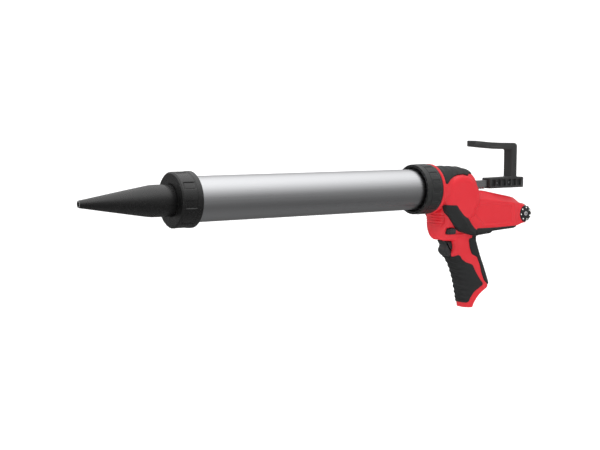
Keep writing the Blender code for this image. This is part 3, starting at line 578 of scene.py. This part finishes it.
def shapeSkin(skin):
    # presses the side panel, the nose ribs and the lock's recess into the skin
    points, normals = getPoints(skin.data), getNormals(skin.data)
    x, y, z = points.T
    side = smoothStep(0.45, 0.8, np.abs(normals[:, 1])) * (np.abs(y) > 12)
    panel = roundCorners(case["panel"], [3, 5, 30, 5, 4, 6])
    recess = roundCorners(case["lockRecess"], 1.5)
    move = -case["panelDepth"] * side * smoothStep(0.0, 2.4, insideDepth(x, z, panel)) * (np.abs(y) > 18)
    move -= case["creaseDepth"] * side * smoothStep(0.0, 1.8, insideDepth(x, z, case["crease"]))
    move -= case["recessDepth"] * side * smoothStep(0.0, 1.8, insideDepth(x, z, recess))
    forward = smoothStep(0.45, 0.85, -normals[:, 0]) * smoothStep(-52, -49, z) * smoothStep(-33, -36, z)
    ribs = 0.5 + 0.5 * np.cos((z - case["ribTop"]) * math.tau / case["ribPitch"])
    move -= case["ribDepth"] * forward * ribs * (x < case["ribEndX"])
    setPoints(skin.data, points + normals * move[:, None])
    return skin


screws = {
    # x, z and how far to the right each one's boss reaches
    "places": [(412.5, -46, 19), (446, 15, 19), (546.5, -48.2, 19.5), (460, -64, 17), (455, -106, 15.5)],
    "headRoom": 3.4, "headSink": 3.2,
}
ways = {
    # an outline, then how far it reaches to either side
    "rack": (rectangle(380, -4.7, 500, 9.7), 5),
    "dial": (ringOutline(568, -41, 12.7, 96), 40),
    "lock": (roundCorners(rectangle(413.8, -63.2, 426.2, -53.8), 2), 40),
    "trigger": (rectangle(395, -96.4, 447, -70.9), 9),
}
bracketWay = {"outline": rectangle(551.4, -46.6, 562, -35.4), "reach": 3.5}


def cutWays(half, side):
    # every opening through the case, in the same places as the moving parts need
    openings = [prismWork(outline, -reach, reach) for outline, reach in ways.values()]
    combine(half, finishMesh("ways", joinWorks(openings), redShell))
    bracket = prismWork(bracketWay["outline"], -bracketWay["reach"], bracketWay["reach"])
    combine(half, finishMesh("bracketWay", bracket, redShell))
    if side > 0:
        for x, z, depth in screws["places"]:
            head = prismWork(ringOutline(x, z, screws["headRoom"], 40), depth - screws["headSink"], 40)
            combine(half, finishMesh("head", head, redShell))


skin = shapeSkin(skinForm("skin", 0.0, case["voxel"], case["smoothing"]))
print("case skin", len(skin.data.vertices), "points")


def makeCase():
    hollow = skinForm("hollow", -case["wall"], 1.6, 2)
    whole = skin.copy()
    whole.data = skin.data.copy()
    whole.name = "wholeCase"
    bpy.context.scene.collection.objects.link(whole)
    combine(whole, finishMesh("barrelSpace", turnedWork(case["barrelSpace"], 160), redShell))
    base = [(400, -170)] + [tuple(p) for p in smoothCurve(case["base"], 8, False)]
    base += [(540, -141), (540, -230), (400, -230)]
    combine(whole, finishMesh("belowGrip", prismWork(base, -40, 40), redShell))
    combine(whole, hollow)
    for label, side in (("Left", -1), ("Right", 1)):
        half = whole.copy()
        half.data = whole.data.copy()
        half.name = half.data.name = "case" + label
        bpy.context.scene.collection.objects.link(half)
        near, far = side * case["halfGap"], side * 60
        keep = prismWork(rectangle(300, -300, 700, 100), min(near, far), max(near, far))
        combine(half, finishMesh("keep", keep, redShell), "INTERSECT")
        cutWays(half, side)
        shade(half, 50)
        half.data.materials.clear()
        half.data.materials.append(redShell)
        attach(half, "tool", "red_plastic", "case_" + label.lower())
    discard(whole)


makeCase()
print("case made")


# Rubber over the case

pads = {
    "topPad": {"outline": [(400.6, 60), (400.6, 8.6), (406.5, 7.6), (413.5, 12.8), (421.5, 16.6), (430, 18.6),
                           (441, 19.2), (450, 17.2), (454, 19.5), (463, 19.5), (468.5, 17.8), (470, 60)],
               "corners": [0, 1.5, 2.5, 5, 8, 8, 8, 2, 2, 4, 2, 0], "node": "top_pad"},
    "frontGrip": {"outline": [(400, -99), (424, -99), (440, -92.3), (446, -100), (453, -104.5), (465, -108.6),
                              (471, -119), (480, -131), (487.6, -138), (469, -147.4), (463.5, -156.4),
                              (461.4, -163), (400, -163)],
                  "corners": [0, 5, 5, 6, 6, 8, 12, 14, 3, 14, 10, 4, 0], "node": "front_grip"},
    "rearGrip": {"outline": [(455.6, -70.6), (540, -68), (540, -139.2), (497.6, -139.6), (488.6, -133),
                             (483, -122), (479.8, -110), (474, -98.4), (463, -93.6), (458.6, -84)],
                 "corners": [3, 0, 0, 3, 10, 12, 12, 6, 6, 8], "node": "rear_grip"},
    "undersidePad": {"outline": [(466, -56.6), (489, -57.2), (513, -57.6), (547.5, -57.2), (547.5, -90),
                                 (484, -90), (484, -71), (462, -71), (462, -62)],
                     "corners": [2, 8, 8, 0, 0, 0, 0, 0, 2], "node": "underside_pad"},
    "height": 1.4, "roll": 1.5, "thickness": 1.0, "sink": 0.9, "coarseMargin": 1.7, "margin": 0.8,
    "ridgeDepth": 0.55, "ridgePitch": 7.6, "ridgeTop": -101, "waveHeight": 0.35, "wavePitch": 13.5,
    "waveStart": 404, "stripExtra": 0.9, "stripBump": 2.6,
}


def gripWaves(points, normals, depth):
    # finger ridges across the front of the grip, fading to its sides
    x, y, z = points.T
    front = smoothStep(0.15, 0.9, -normals[:, 0]) * smoothStep(1.0, 4.0, depth)
    turn = (z + 0.25 * np.abs(y) - pads["ridgeTop"]) * math.tau / pads["ridgePitch"]
    return front * pads["ridgeDepth"] * (np.cos(turn) - 1)


def underBump(points, normals, depth):
    # the strip under the motor is thicker towards the grip
    x = points[:, 0]
    down = smoothStep(0.3, 0.9, -normals[:, 2])
    extra = (pads["stripExtra"] + pads["stripBump"] * smoothStep(498.5, 491.0, x)
             - 0.5 * smoothStep(475, 466, x))
    return extra * down * smoothStep(0.3, 2.0, depth)


def topWaves(points, normals, depth):
    # shallow waves along the top of the case
    x = points[:, 0]
    wave = np.cos((x - pads["waveStart"]) * math.tau / pads["wavePitch"])
    return pads["waveHeight"] * smoothStep(1.0, 4.0, depth) * wave


def makePad(name, relief=None):
    values = pads[name]
    outline = roundCorners(values["outline"], values["corners"])
    work = bmesh.new()
    work.from_mesh(skin.data)
    work.verts.ensure_lookup_table()
    points = np.array([v.co for v in work.verts])
    depth = insideDepth(points[:, 0], points[:, 2], outline)
    far = [v for v, d in zip(work.verts, depth) if d < -pads["coarseMargin"]]
    bmesh.ops.delete(work, geom=far, context="VERTS")
    bmesh.ops.subdivide_edges(work, edges=work.edges, cuts=1, use_grid_fill=True)
    work.normal_update()
    points = np.array([v.co for v in work.verts])
    normals = np.array([v.normal for v in work.verts])
    depth = insideDepth(points[:, 0], points[:, 2], outline)
    share = np.clip(depth / pads["roll"], 0, 1)
    height = pads["height"] * np.sqrt(1 - (1 - share) ** 2)
    height = np.where(depth < 0, -pads["sink"] * smoothStep(0, 0.5, -depth), height)
    if relief:
        height = height + relief(points, normals, depth)
    for vert, normal, rise in zip(work.verts, normals, height):
        vert.co += Vector(normal * rise)
    loose = [v for v, d in zip(work.verts, depth) if d < -pads["margin"]]
    bmesh.ops.delete(work, geom=loose, context="VERTS")
    pad = finishMesh(name, work, gripRubber, None)
    step = pad.modifiers.new("thickness", "SOLIDIFY")
    step.thickness = pads["thickness"]
    step.offset = -1
    settle(pad)
    shade(pad, 60)
    return attach(pad, "tool", "black_rubber", values["node"])


makePad("topPad", topWaves)
makePad("frontGrip", gripWaves)
makePad("rearGrip")
makePad("undersidePad", underBump)

band = {
    "left": [(404.8, -21.2), (406.4, -28.8), (411.4, -36.5), (421.6, -50.4), (432, -58.5), (444, -62.5),
             (461.5, -67)],
    "ridge": [(418.4, -22.0), (421.5, -26.5), (427, -33), (434, -41), (441.5, -50), (449, -58), (461, -64.5)],
    "right": [(429, -22.9), (433, -27.6), (438.5, -33), (444.5, -39.2), (450.5, -45.4), (458, -52.5),
              (466, -55.4)],
    "edgeY": 26.8, "ridgeY": 30.0, "baseY": 18.0, "dropFrom": -44, "dropTo": -68, "drop": 4.4,
}


def makeBand(label, side):
    # a wedge with a ridge down its length
    rows = []
    for a, r, b in zip(*(smoothCurve(band[line], 5, False) for line in ("left", "ridge", "right"))):
        drop = smoothStep(band["dropFrom"], band["dropTo"], r[1]) * band["drop"]
        edge, crest = band["edgeY"] - drop, band["ridgeY"] - drop
        shape = [(a, band["baseY"]), (a, edge - 1.2), (a * 0.9 + r * 0.1, edge + 0.2), (r, crest),
                 (b * 0.9 + r * 0.1, edge + 0.4), (b, edge - 0.8), (b, band["baseY"])]
        rows.append([(p[0], side * y, p[1]) for p, y in shape])
    piece = finishMesh("sideBand" + label, gridWork(np.array(rows), False, True, True), gripRubber)
    softenEdges(piece, 0.7, 3, 20)
    attach(piece, "tool", "black_rubber", "side_band_" + label.lower())


makeBand("Left", -1)
makeBand("Right", 1)
discard(skin)
print("rubber made")


# Barrel, cap, nozzle and collar

barrel = {"radius": 27.5, "bore": 25.75, "front": 6.0, "rear": 380.0, "rings": (20, 366, 24)}


def makeTube():
    outline = [(barrel["front"], barrel["bore"]), (barrel["front"], barrel["radius"]),
               (barrel["rear"], barrel["radius"]), (barrel["rear"], barrel["bore"])]
    profile = roundCorners(outline, 0.6, 3)
    outer = [i for i in range(len(profile) - 1) if profile[i][0] < 10 and profile[i + 1][0] > 370]
    cuts = [(x, barrel["radius"]) for x in np.linspace(*barrel["rings"])]
    profile = profile[:outer[0] + 1] + cuts + profile[outer[0] + 1:]
    tube = finishMesh("barrelTube", turnedWork(profile, 192), barrelMetal, 40)
    attach(tube, "barrel", "barrel_aluminium", "barrel_tube")


frontCap = {
    "profile": [(0, 19.5), (0, 31.6), (1.0, 32.4), (1.4, 33.2), (3.0, 33.35), (3.5, 33.3), (19.3, 33.35),
                (19.8, 33.1), (20.4, 33.7), (26.2, 33.75), (27, 33.0), (27, 28.2), (3, 28.2), (3, 19.5)],
    "corners": [0.4, 0.5, 0.3, 0.4, 0.2, 0.2, 0.2, 0.2, 0.4, 0.6, 0.5, 0.2, 0.2, 0.3],
    "panels": 9, "share": 0.62, "depth": 1.1, "turn": 0.22,
    "lugCircle": 20.6, "lugSpread": 0.11, "lugHalf": (1.1, 0.8),
}


def refine(profile, longest=1.2):
    # extra points along the straight stretches of an outline
    result = []
    for a, b in zip(profile, profile[1:] + profile[:1]):
        a, b = np.array(a), np.array(b)
        pieces = max(1, int(np.linalg.norm(b - a) / longest))
        result += [tuple(a + (b - a) * k / pieces) for k in range(pieces)]
    return result


def makeCap():
    profile = refine(roundCorners(frontCap["profile"], frontCap["corners"], 3))

    def radiusAt(x, r, turn):
        # raised panels round the middle, sunk strips between them
        phase = (turn / math.tau * frontCap["panels"] + frontCap["turn"]) % 1
        toPanel = np.minimum(phase, frontCap["share"] - phase) * math.tau * 33 / frontCap["panels"]
        sunk = smoothStep(0.35, -0.35, toPanel)
        along = smoothStep(3.4, 4.2, x) * smoothStep(19.4, 18.6, x) * (r > 31)
        edge = smoothStep(0.9, 0.2, np.abs(toPanel)) * along * 0.25
        return r - frontCap["depth"] * sunk * along - edge

    cap = finishMesh("frontCap", turnedWork(profile, 540, radiusAt), nozzleBlack, 45)
    attach(cap, "front_cap", "black_plastic", "front_cap")
    works = []
    for turn in (math.pi / 2, -math.pi / 2):
        for angle in (turn - frontCap["lugSpread"], turn + frontCap["lugSpread"]):
            y, z = frontCap["lugCircle"] * math.cos(angle), frontCap["lugCircle"] * math.sin(angle)
            wide, high = frontCap["lugHalf"]
            corners = roundCorners(rectangle(y - wide, z - high, y + wide, z + high), 0.3)
            works.append(prismWork(corners, 0.15, 0.6, 0))
    notch = finishMesh("capLugs", joinWorks(works), innerBlack)
    softenEdges(notch, 0.12, 2)
    attach(notch, "front_cap", "black_plastic")


nozzle = {
    "tip": (-113.5, 4.2),
    "cone": [(-112.6, 4.35), (-80, 9.9), (-50, 14.9), (-34, 17.5), (-27, 18.5), (-20, 18.85), (-6, 18.9),
             (2.9, 18.9)],
    "flange": [(3.3, 18.9), (3.3, 27.0), (4.9, 27.0)],
    "inside": [(4.9, 16.7), (-28, 16.3), (-60, 11.4), (-113.5, 3.2)],
}


def makeNozzle():
    cone = [tuple(p) for p in smoothCurve(nozzle["cone"], 5, False)]
    profile = refine([nozzle["tip"]] + cone + nozzle["flange"] + nozzle["inside"], 4.0)
    made = finishMesh("nozzle", turnedWork(profile, 144), nozzleBlack, 40)
    made.data.materials.append(tipGrey)
    for face in made.data.polygons:
        if face.center.x < -113.2 or (face.center.x < -60 and face.normal.x < -0.9):
            face.material_index = 1
    attach(made, "nozzle", "black_plastic", "nozzle")


collar = {
    "profile": [(366.3, 31.3), (366.3, 33.4), (366.9, 33.9), (374.0, 34.1), (374.4, 33.4), (374.9, 34.35),
                (389.4, 34.4), (390.2, 33.6), (392.9, 33.9), (393.3, 33.5), (393.3, 32.8), (380.0, 32.8),
                (380.0, 30.2), (367.2, 30.2), (366.6, 30.6), (366.6, 31.3)],
    "pads": 17, "share": 0.6, "depth": 0.9, "turn": 0.12, "pockets": 26,
    "padStart": 375.6, "padEnd": 389.6, "bandStart": 375.0, "bandEnd": 390.2,
    "pocketInner": 31.9, "pocketOuter": 33.3, "pocketFrom": 360, "pocketTo": 368.6,
    "ferrule": [(371.4, 27.8), (371.4, 29.3), (380.3, 29.4), (380.3, 32.2), (383.3, 32.2), (383.3, 27.8)],
}


def makeCollar():
    profile = refine(roundCorners(collar["profile"], 0.25, 3))

    def radiusAt(x, r, turn):
        phase = (turn / math.tau * collar["pads"] + collar["turn"]) % 1
        toPad = np.minimum(phase, collar["share"] - phase) * math.tau * 34 / collar["pads"]
        outside = r > 32.9
        along = (smoothStep(collar["padStart"], collar["padStart"] + 1, x)
                 * smoothStep(collar["padEnd"], collar["padEnd"] - 1, x) * outside)
        shallow = (smoothStep(collar["bandStart"], collar["bandStart"] + 0.6, x)
                   * smoothStep(collar["bandEnd"], collar["bandEnd"] - 0.8, x) * outside)
        lower = smoothStep(0.3, -0.3, toPad) * along
        edge = smoothStep(0.8, 0.1, np.abs(toPad)) * along
        return r - collar["depth"] * lower - 0.25 * edge - 0.15 * shallow

    made = finishMesh("collar", turnedWork(profile, 680, radiusAt), collarBlack, 45)
    pockets = []
    for i in range(collar["pockets"]):
        angle = math.tau * i / collar["pockets"]
        reach = math.pi / collar["pockets"] * 0.66
        outline = []
        for radius, first in ((collar["pocketInner"], 1), (collar["pocketOuter"], -1)):
            for k in range(5):
                turn = angle + first * reach * (k / 2 - 1)
                outline.append((radius * math.cos(turn), radius * math.sin(turn)))
        pockets.append(prismWork(outline, collar["pocketFrom"], collar["pocketTo"], 0))
    combine(made, finishMesh("pockets", joinWorks(pockets), collarBlack))
    shade(made, 45)
    attach(made, "collar", "black_plastic", "collar")
    lip = roundCorners(collar["ferrule"], 0.25, 3)
    ferrule = finishMesh("barrelFerrule", turnedWork(refine(lip), 160), innerBlack, 45)
    attach(ferrule, "barrel", "steel", "barrel_ferrule")


makeTube()
makeCap()
makeNozzle()
makeCollar()
print("barrel made")


# Pull handle

handle = {
    "halfWidth": 8.0, "front": 503.5, "end": 571.0,
    "outline": [(503.5, -3), (571, -3), (571, 12), (557, 12.6), (557, 58.5), (553.5, 61.6), (530, 61.9),
                (505, 63.0), (473.2, 65.5), (473.2, 57.0), (482, 56.2), (500, 54.6), (522, 53.0), (544, 52.6),
                (546, 50.6), (546, 12.6), (503.5, 12)],
    "corners": [1.2, 1.2, 1.5, 1.5, 3, 4, 30, 30, 1.0, 1.0, 10, 20, 30, 1.5, 1.5, 1.5, 1.2],
    "pockets": 6, "pocketDepth": 3.4, "rackSlot": (497, -0.25, 562.5, 9.0), "slotHalf": 4.3,
    "ribs": 5, "ribStart": 475.4, "ribPitch": 2.5, "ribWidth": 1.0, "ribBands": ((64, 70), (50, 57.4)),
}


def makeHandle():
    outline = roundCorners(handle["outline"], handle["corners"], 4)
    half = handle["halfWidth"]
    piece = finishMesh("pullHandle", roundedSlabWork(outline, -half, half, 0.9, 4), handleBlack)
    works = []
    pitch = (handle["end"] - handle["front"] - 6.5) / handle["pockets"]
    for side in (-1, 1):
        near, far = side * (half - handle["pocketDepth"]), side * (half + 3)
        for i in range(handle["pockets"]):
            x = handle["front"] + 3.6 + pitch * i
            pocket = roundCorners(rectangle(x, 0.0, x + pitch - 1.9, 9.6), 0.8, 3)
            works.append(prismWork(pocket, min(near, far), max(near, far)))
    combine(piece, finishMesh("pockets", joinWorks(works), handleBlack))
    slot = prismWork(rectangle(*handle["rackSlot"]), -handle["slotHalf"], handle["slotHalf"])
    combine(piece, finishMesh("rackSlot", slot, handleBlack))
    ribs = []
    for i in range(handle["ribs"]):
        x = handle["ribStart"] + handle["ribPitch"] * i
        for low, high in handle["ribBands"]:
            ribs.append(prismWork(rectangle(x, low, x + handle["ribWidth"], high), -10, 10))
    combine(piece, finishMesh("fingerRibs", joinWorks(ribs), handleBlack))
    softenEdges(piece, 0.2, 2, 50)
    attach(piece, "rod", "black_plastic", "pull_handle")


makeHandle()

# Trigger, lock button and speed dial

controls = {
    "trigger": [(419.8, -72.6), (424, -71.9), (430, -71.8), (435.9, -71.8), (436.3, -73), (436.3, -84),
                (436.3, -94), (434.9, -95.5), (432, -95.9), (428, -95.4), (423.9, -92.8), (421.2, -89.2),
                (420.4, -85.8), (422.6, -81.4), (422.8, -78.2), (419.8, -75.0)],
    "halfWidth": 8.5, "lockX": 420.0, "lockZ": -58.5, "lockReach": 22.5, "lockHalf": (5.6, 4.0),
}


def makeTrigger():
    outline = smoothCurve(controls["trigger"], 4)
    half = controls["halfWidth"]
    work = roundedSlabWork(outline, -half, half, 2.4, 5)
    made = finishMesh("trigger", work, triggerBlack, 50)
    attach(made, "trigger", "black_plastic", "trigger")


def makeLockButton():
    x, z, reach = controls["lockX"], controls["lockZ"], controls["lockReach"]
    wide, high = controls["lockHalf"]
    outline = roundCorners(rectangle(x - wide, z - high, x + wide, z + high), 2.2, 6)
    work = roundedSlabWork(outline, -reach - 2, reach - 2, 0.8, 3)
    made = finishMesh("lockButton", work, triggerBlack, 50)
    attach(made, "lock_button", "black_plastic", "lock_button")


dial = {"x": 568.0, "z": -41.0, "radius": 12.0, "inner": 3.5, "outer": 17.0, "scallops": 12, "dots": 7,
        "dotRadius": 1.15, "dotCircle": 8.8, "firstDot": 83.0}


def turnedAcross(profile, x, z, steps=64):
    # a closed outline of (y, radius) points turned about an axis across the tool
    work = turnedWork(profile, steps)
    for vert in work.verts:
        vert.co = (x + vert.co.y, vert.co.x, z + vert.co.z)
    return work


def makeDial():
    count = dial["scallops"]
    turn = np.arange(count * 12) * math.tau / (count * 12)
    radius = dial["radius"] - 0.62 + 0.6 * np.cos(count * turn)
    outline = np.stack((dial["x"] + radius * np.cos(turn), dial["z"] + radius * np.sin(turn)), 1)
    for label, side in (("Left", -1), ("Right", 1)):
        low, high = sorted((side * dial["inner"], side * (dial["outer"] - 0.4)))
        wheel = finishMesh("dialWheel" + label, roundedSlabWork(outline, low, high, 1.3, 4), dialBlack, 50)
        attach(wheel, "speed_dial", "black_plastic", "dial_wheel_" + label.lower())
        face = side * (dial["outer"] - 0.6)
        lifted = face + side * 0.6
        ring = roundCorners([(face, 3.4), (face, 6.0), (lifted, 5.6), (lifted, 3.6)], 0.15, 3)
        ring = finishMesh("dialRing" + label, turnedAcross(ring, dial["x"], dial["z"]), dialBlack)
        attach(ring, "speed_dial", "black_plastic")
        hub = roundCorners([(face, 0.01), (face, 3.1), (face + side * 1.2, 2.8), (face + side * 1.5, 0.01)],
                           [0, 0.1, 0.4, 0], 3)
        hub = finishMesh("dialHub" + label, turnedAcross(hub, dial["x"], dial["z"], 40), hubGrey)
        attach(hub, "speed_dial", "black_plastic")
        dots = []
        for i in range(dial["dots"]):
            angle = math.radians(dial["firstDot"] + i * 360 / dial["dots"])
            x = dial["x"] + dial["dotCircle"] * math.cos(angle)
            z = dial["z"] + dial["dotCircle"] * math.sin(angle)
            r = dial["dotRadius"]
            bead = [(face, 0.01), (face, r), (face + side * 0.35, r * 0.9), (face + side * 0.55, 0.01)]
            dots.append(turnedAcross(bead, x, z, 24))
        dots = finishMesh("dialDots" + label, joinWorks(dots), dotWhite)
        attach(dots, "speed_dial", "black_plastic")


def makeScrews():
    # domed heads with a cross recess
    for number, (x, z, depth) in enumerate(screws["places"]):
        head = depth - 2.2
        profile = [(-7.5, 0.01), (-7.5, 0.9), (-6, 1.45), (head - 0.4, 1.45), (head - 0.4, 2.9),
                   (head + 0.2, 3.0), (head + 1.0, 2.5), (head + 1.4, 1.2), (head + 1.45, 0.01)]
        screw = finishMesh(f"caseScrew{number}", turnedAcross(profile, x, z, 48), screwSteel)
        for dx, dz in ((1.7, 0.32), (0.32, 1.7)):
            blade = rectangle(x - dx, z - dz, x + dx, z + dz)
            combine(screw, finishMesh("blade", prismWork(blade, head + 0.2, head + 4), screwSteel))
        shade(screw, 30)
        attach(screw, "tool", "steel", f"case_screw_{number}")


makeTrigger()
makeLockButton()
makeDial()
makeScrews()
print("controls made")


# Pieces that keep their CAD shape and get a better material

keptLooks = {
    rackSteel: ["rack", "plunger_plate", "plunger_bolt", "handle_pin_0", "handle_pin_1", "barrel_spigot"],
    gearSteel: ["rack_pinion", "drive_gear", "idler_pinion", "bevel_wheel", "bevel_pinion", "drive_axle",
                "idler_axle", "bearing_plate_left", "bearing_plate_right", "motor", "trigger_spring",
                "dial_pin"],
    bushBrass: ["drive_bush_left", "drive_bush_right", "idler_bush_left", "idler_bush_right",
                "rack_guide_front", "rack_guide_rear"],
    innerBlack: ["gearbox", "switch_body", "battery_terminals", "dial_bracket"],
    gripRubber: ["plunger_cup", "nozzle_seal"],
    boardGreen: ["control_board"],
}
for look, names in keptLooks.items():
    for name in names:
        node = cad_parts[name]
        for slot in node.material_slots:
            slot.material = look
print("inner pieces finished")


# Camera, floor and lights

view = {"x": -1.0172, "y": -1.1020, "z": 0.2083, "azimuth": -33.949, "elevation": 5.461, "lens": 63.2}
studio = {"floor": -0.62, "flat": 2.6, "reach": 7.0, "rise": 3.2, "steps": 96, "white": 0.92, "glow": 0.35}

camera = bpy.data.objects.new("camera", bpy.data.cameras.new("camera"))
bpy.context.scene.collection.objects.link(camera)
camera.location = (view["x"], view["y"], view["z"])
camera.rotation_euler = (math.radians(90 - view["elevation"]), 0, math.radians(view["azimuth"]))
camera.data.lens = view["lens"]
camera.data.sensor_width = 36
camera.data.clip_start = 0.01
bpy.context.scene.camera = camera


def makeFloor():
    # a round sweep: flat in the middle, rising smoothly all round
    radii = [0.02] + list(np.linspace(0.5, studio["flat"], 5)) + list(np.linspace(3.0, studio["reach"], 22))
    steps = studio["steps"]
    turn = np.arange(steps) * math.tau / steps
    rings = []
    for r in radii:
        share = max(0.0, (r - studio["flat"]) / (studio["reach"] - studio["flat"]))
        z = studio["floor"] + studio["rise"] * share * share
        rings.append(np.stack((r * np.cos(turn), r * np.sin(turn), np.full(steps, z)), 1))
    work = gridWork(np.array(rings), False, True)
    work.faces.new(list(work.verts)[:steps])
    look = bpy.data.materials.new("floorWhite")
    look.use_nodes = True
    shader = look.node_tree.nodes["Principled BSDF"]
    shader.inputs["Base Color"].default_value = (*[studio["white"]] * 3, 1)
    shader.inputs["Roughness"].default_value = 0.9
    shader.inputs["Specular IOR Level"].default_value = 0.1
    shader.inputs["Emission Color"].default_value = (1, 1, 1, 1)
    shader.inputs["Emission Strength"].default_value = studio["glow"]
    floor = finishMesh("floor", work, look, None)
    return floor


floor = makeFloor()
floor.visible_glossy = False


def addLight(name, place, target, size, power):
    data = bpy.data.lights.new(name, "AREA")
    data.shape = "RECTANGLE"
    data.size, data.size_y = size
    data.energy = power
    lamp = bpy.data.objects.new(name, data)
    bpy.context.scene.collection.objects.link(lamp)
    lamp.location = place
    lamp.visible_glossy = False
    lamp.rotation_euler = (Vector(target) - Vector(place)).to_track_quat("-Z", "Y").to_euler()
    return lamp


addLight("overhead", (-0.6, 0.4, 4.2), (-0.2, 0, 0.1), (5.0, 2.6), 150)
addLight("nearKey", (1.2, -3.6, 3.6), (-0.1, 0, 0.05), (3.0, 2.0), 80)
addLight("frontFill", (-4.2, -1.6, 1.2), (-0.2, 0, 0.1), (2.0, 2.0), 14)


sky = {
    # height of the direction from -1 (down) to 1 (up), and how bright the reflection there is
    "steps": [(-1.0, 0.20), (-0.6, 0.12), (-0.12, 0.22), (0.1, 0.28), (0.3, 0.45), (0.58, 0.85), (0.85, 1.4),
              (1.0, 1.5)],
    "reflected": 1.5, "diffuseLow": 0.06, "diffuseHigh": 0.42,
}


def makeWorld():
    # reflections see a soft tent that brightens towards the top, the rest sees a dimmer sky
    world = bpy.data.worlds.new("studio")
    bpy.context.scene.world = world
    world.use_nodes = True
    nodes, links = world.node_tree.nodes, world.node_tree.links
    background = nodes["Background"]
    place = nodes.new("ShaderNodeTexCoord")
    split = nodes.new("ShaderNodeSeparateXYZ")
    links.new(place.outputs["Generated"], split.inputs[0])
    height = nodes.new("ShaderNodeMapRange")
    height.inputs["From Min"].default_value = -1
    links.new(split.outputs["Z"], height.inputs["Value"])
    tent = nodes.new("ShaderNodeValToRGB")
    marks = tent.color_ramp.elements
    for level, bright in sky["steps"]:
        mark = marks[0 if level < 0 else -1] if abs(level) == 1 else marks.new(0.5 + level / 2)
        mark.color = (*[bright / sky["reflected"]] * 3, 1)
    links.new(height.outputs["Result"], tent.inputs["Fac"])
    soft = nodes.new("ShaderNodeMapRange")
    for label, value in (("From Min", -0.12), ("From Max", 0.25), ("To Min", sky["diffuseLow"]),
                         ("To Max", sky["diffuseHigh"])):
        soft.inputs[label].default_value = value
    links.new(split.outputs["Z"], soft.inputs["Value"])
    scaled = nodes.new("ShaderNodeMath")
    scaled.operation = "MULTIPLY"
    scaled.inputs[1].default_value = sky["reflected"]
    links.new(tent.outputs["Color"], scaled.inputs[0])
    path = nodes.new("ShaderNodeLightPath")
    pick = nodes.new("ShaderNodeMix")
    links.new(path.outputs["Is Glossy Ray"], pick.inputs["Factor"])
    links.new(soft.outputs["Result"], pick.inputs["A"])
    links.new(scaled.outputs[0], pick.inputs["B"])
    links.new(pick.outputs["Result"], background.inputs["Strength"])
    background.inputs["Color"].default_value = (1, 1, 1, 1)


makeWorld()
bpy.context.scene.view_settings.view_transform = "Standard"
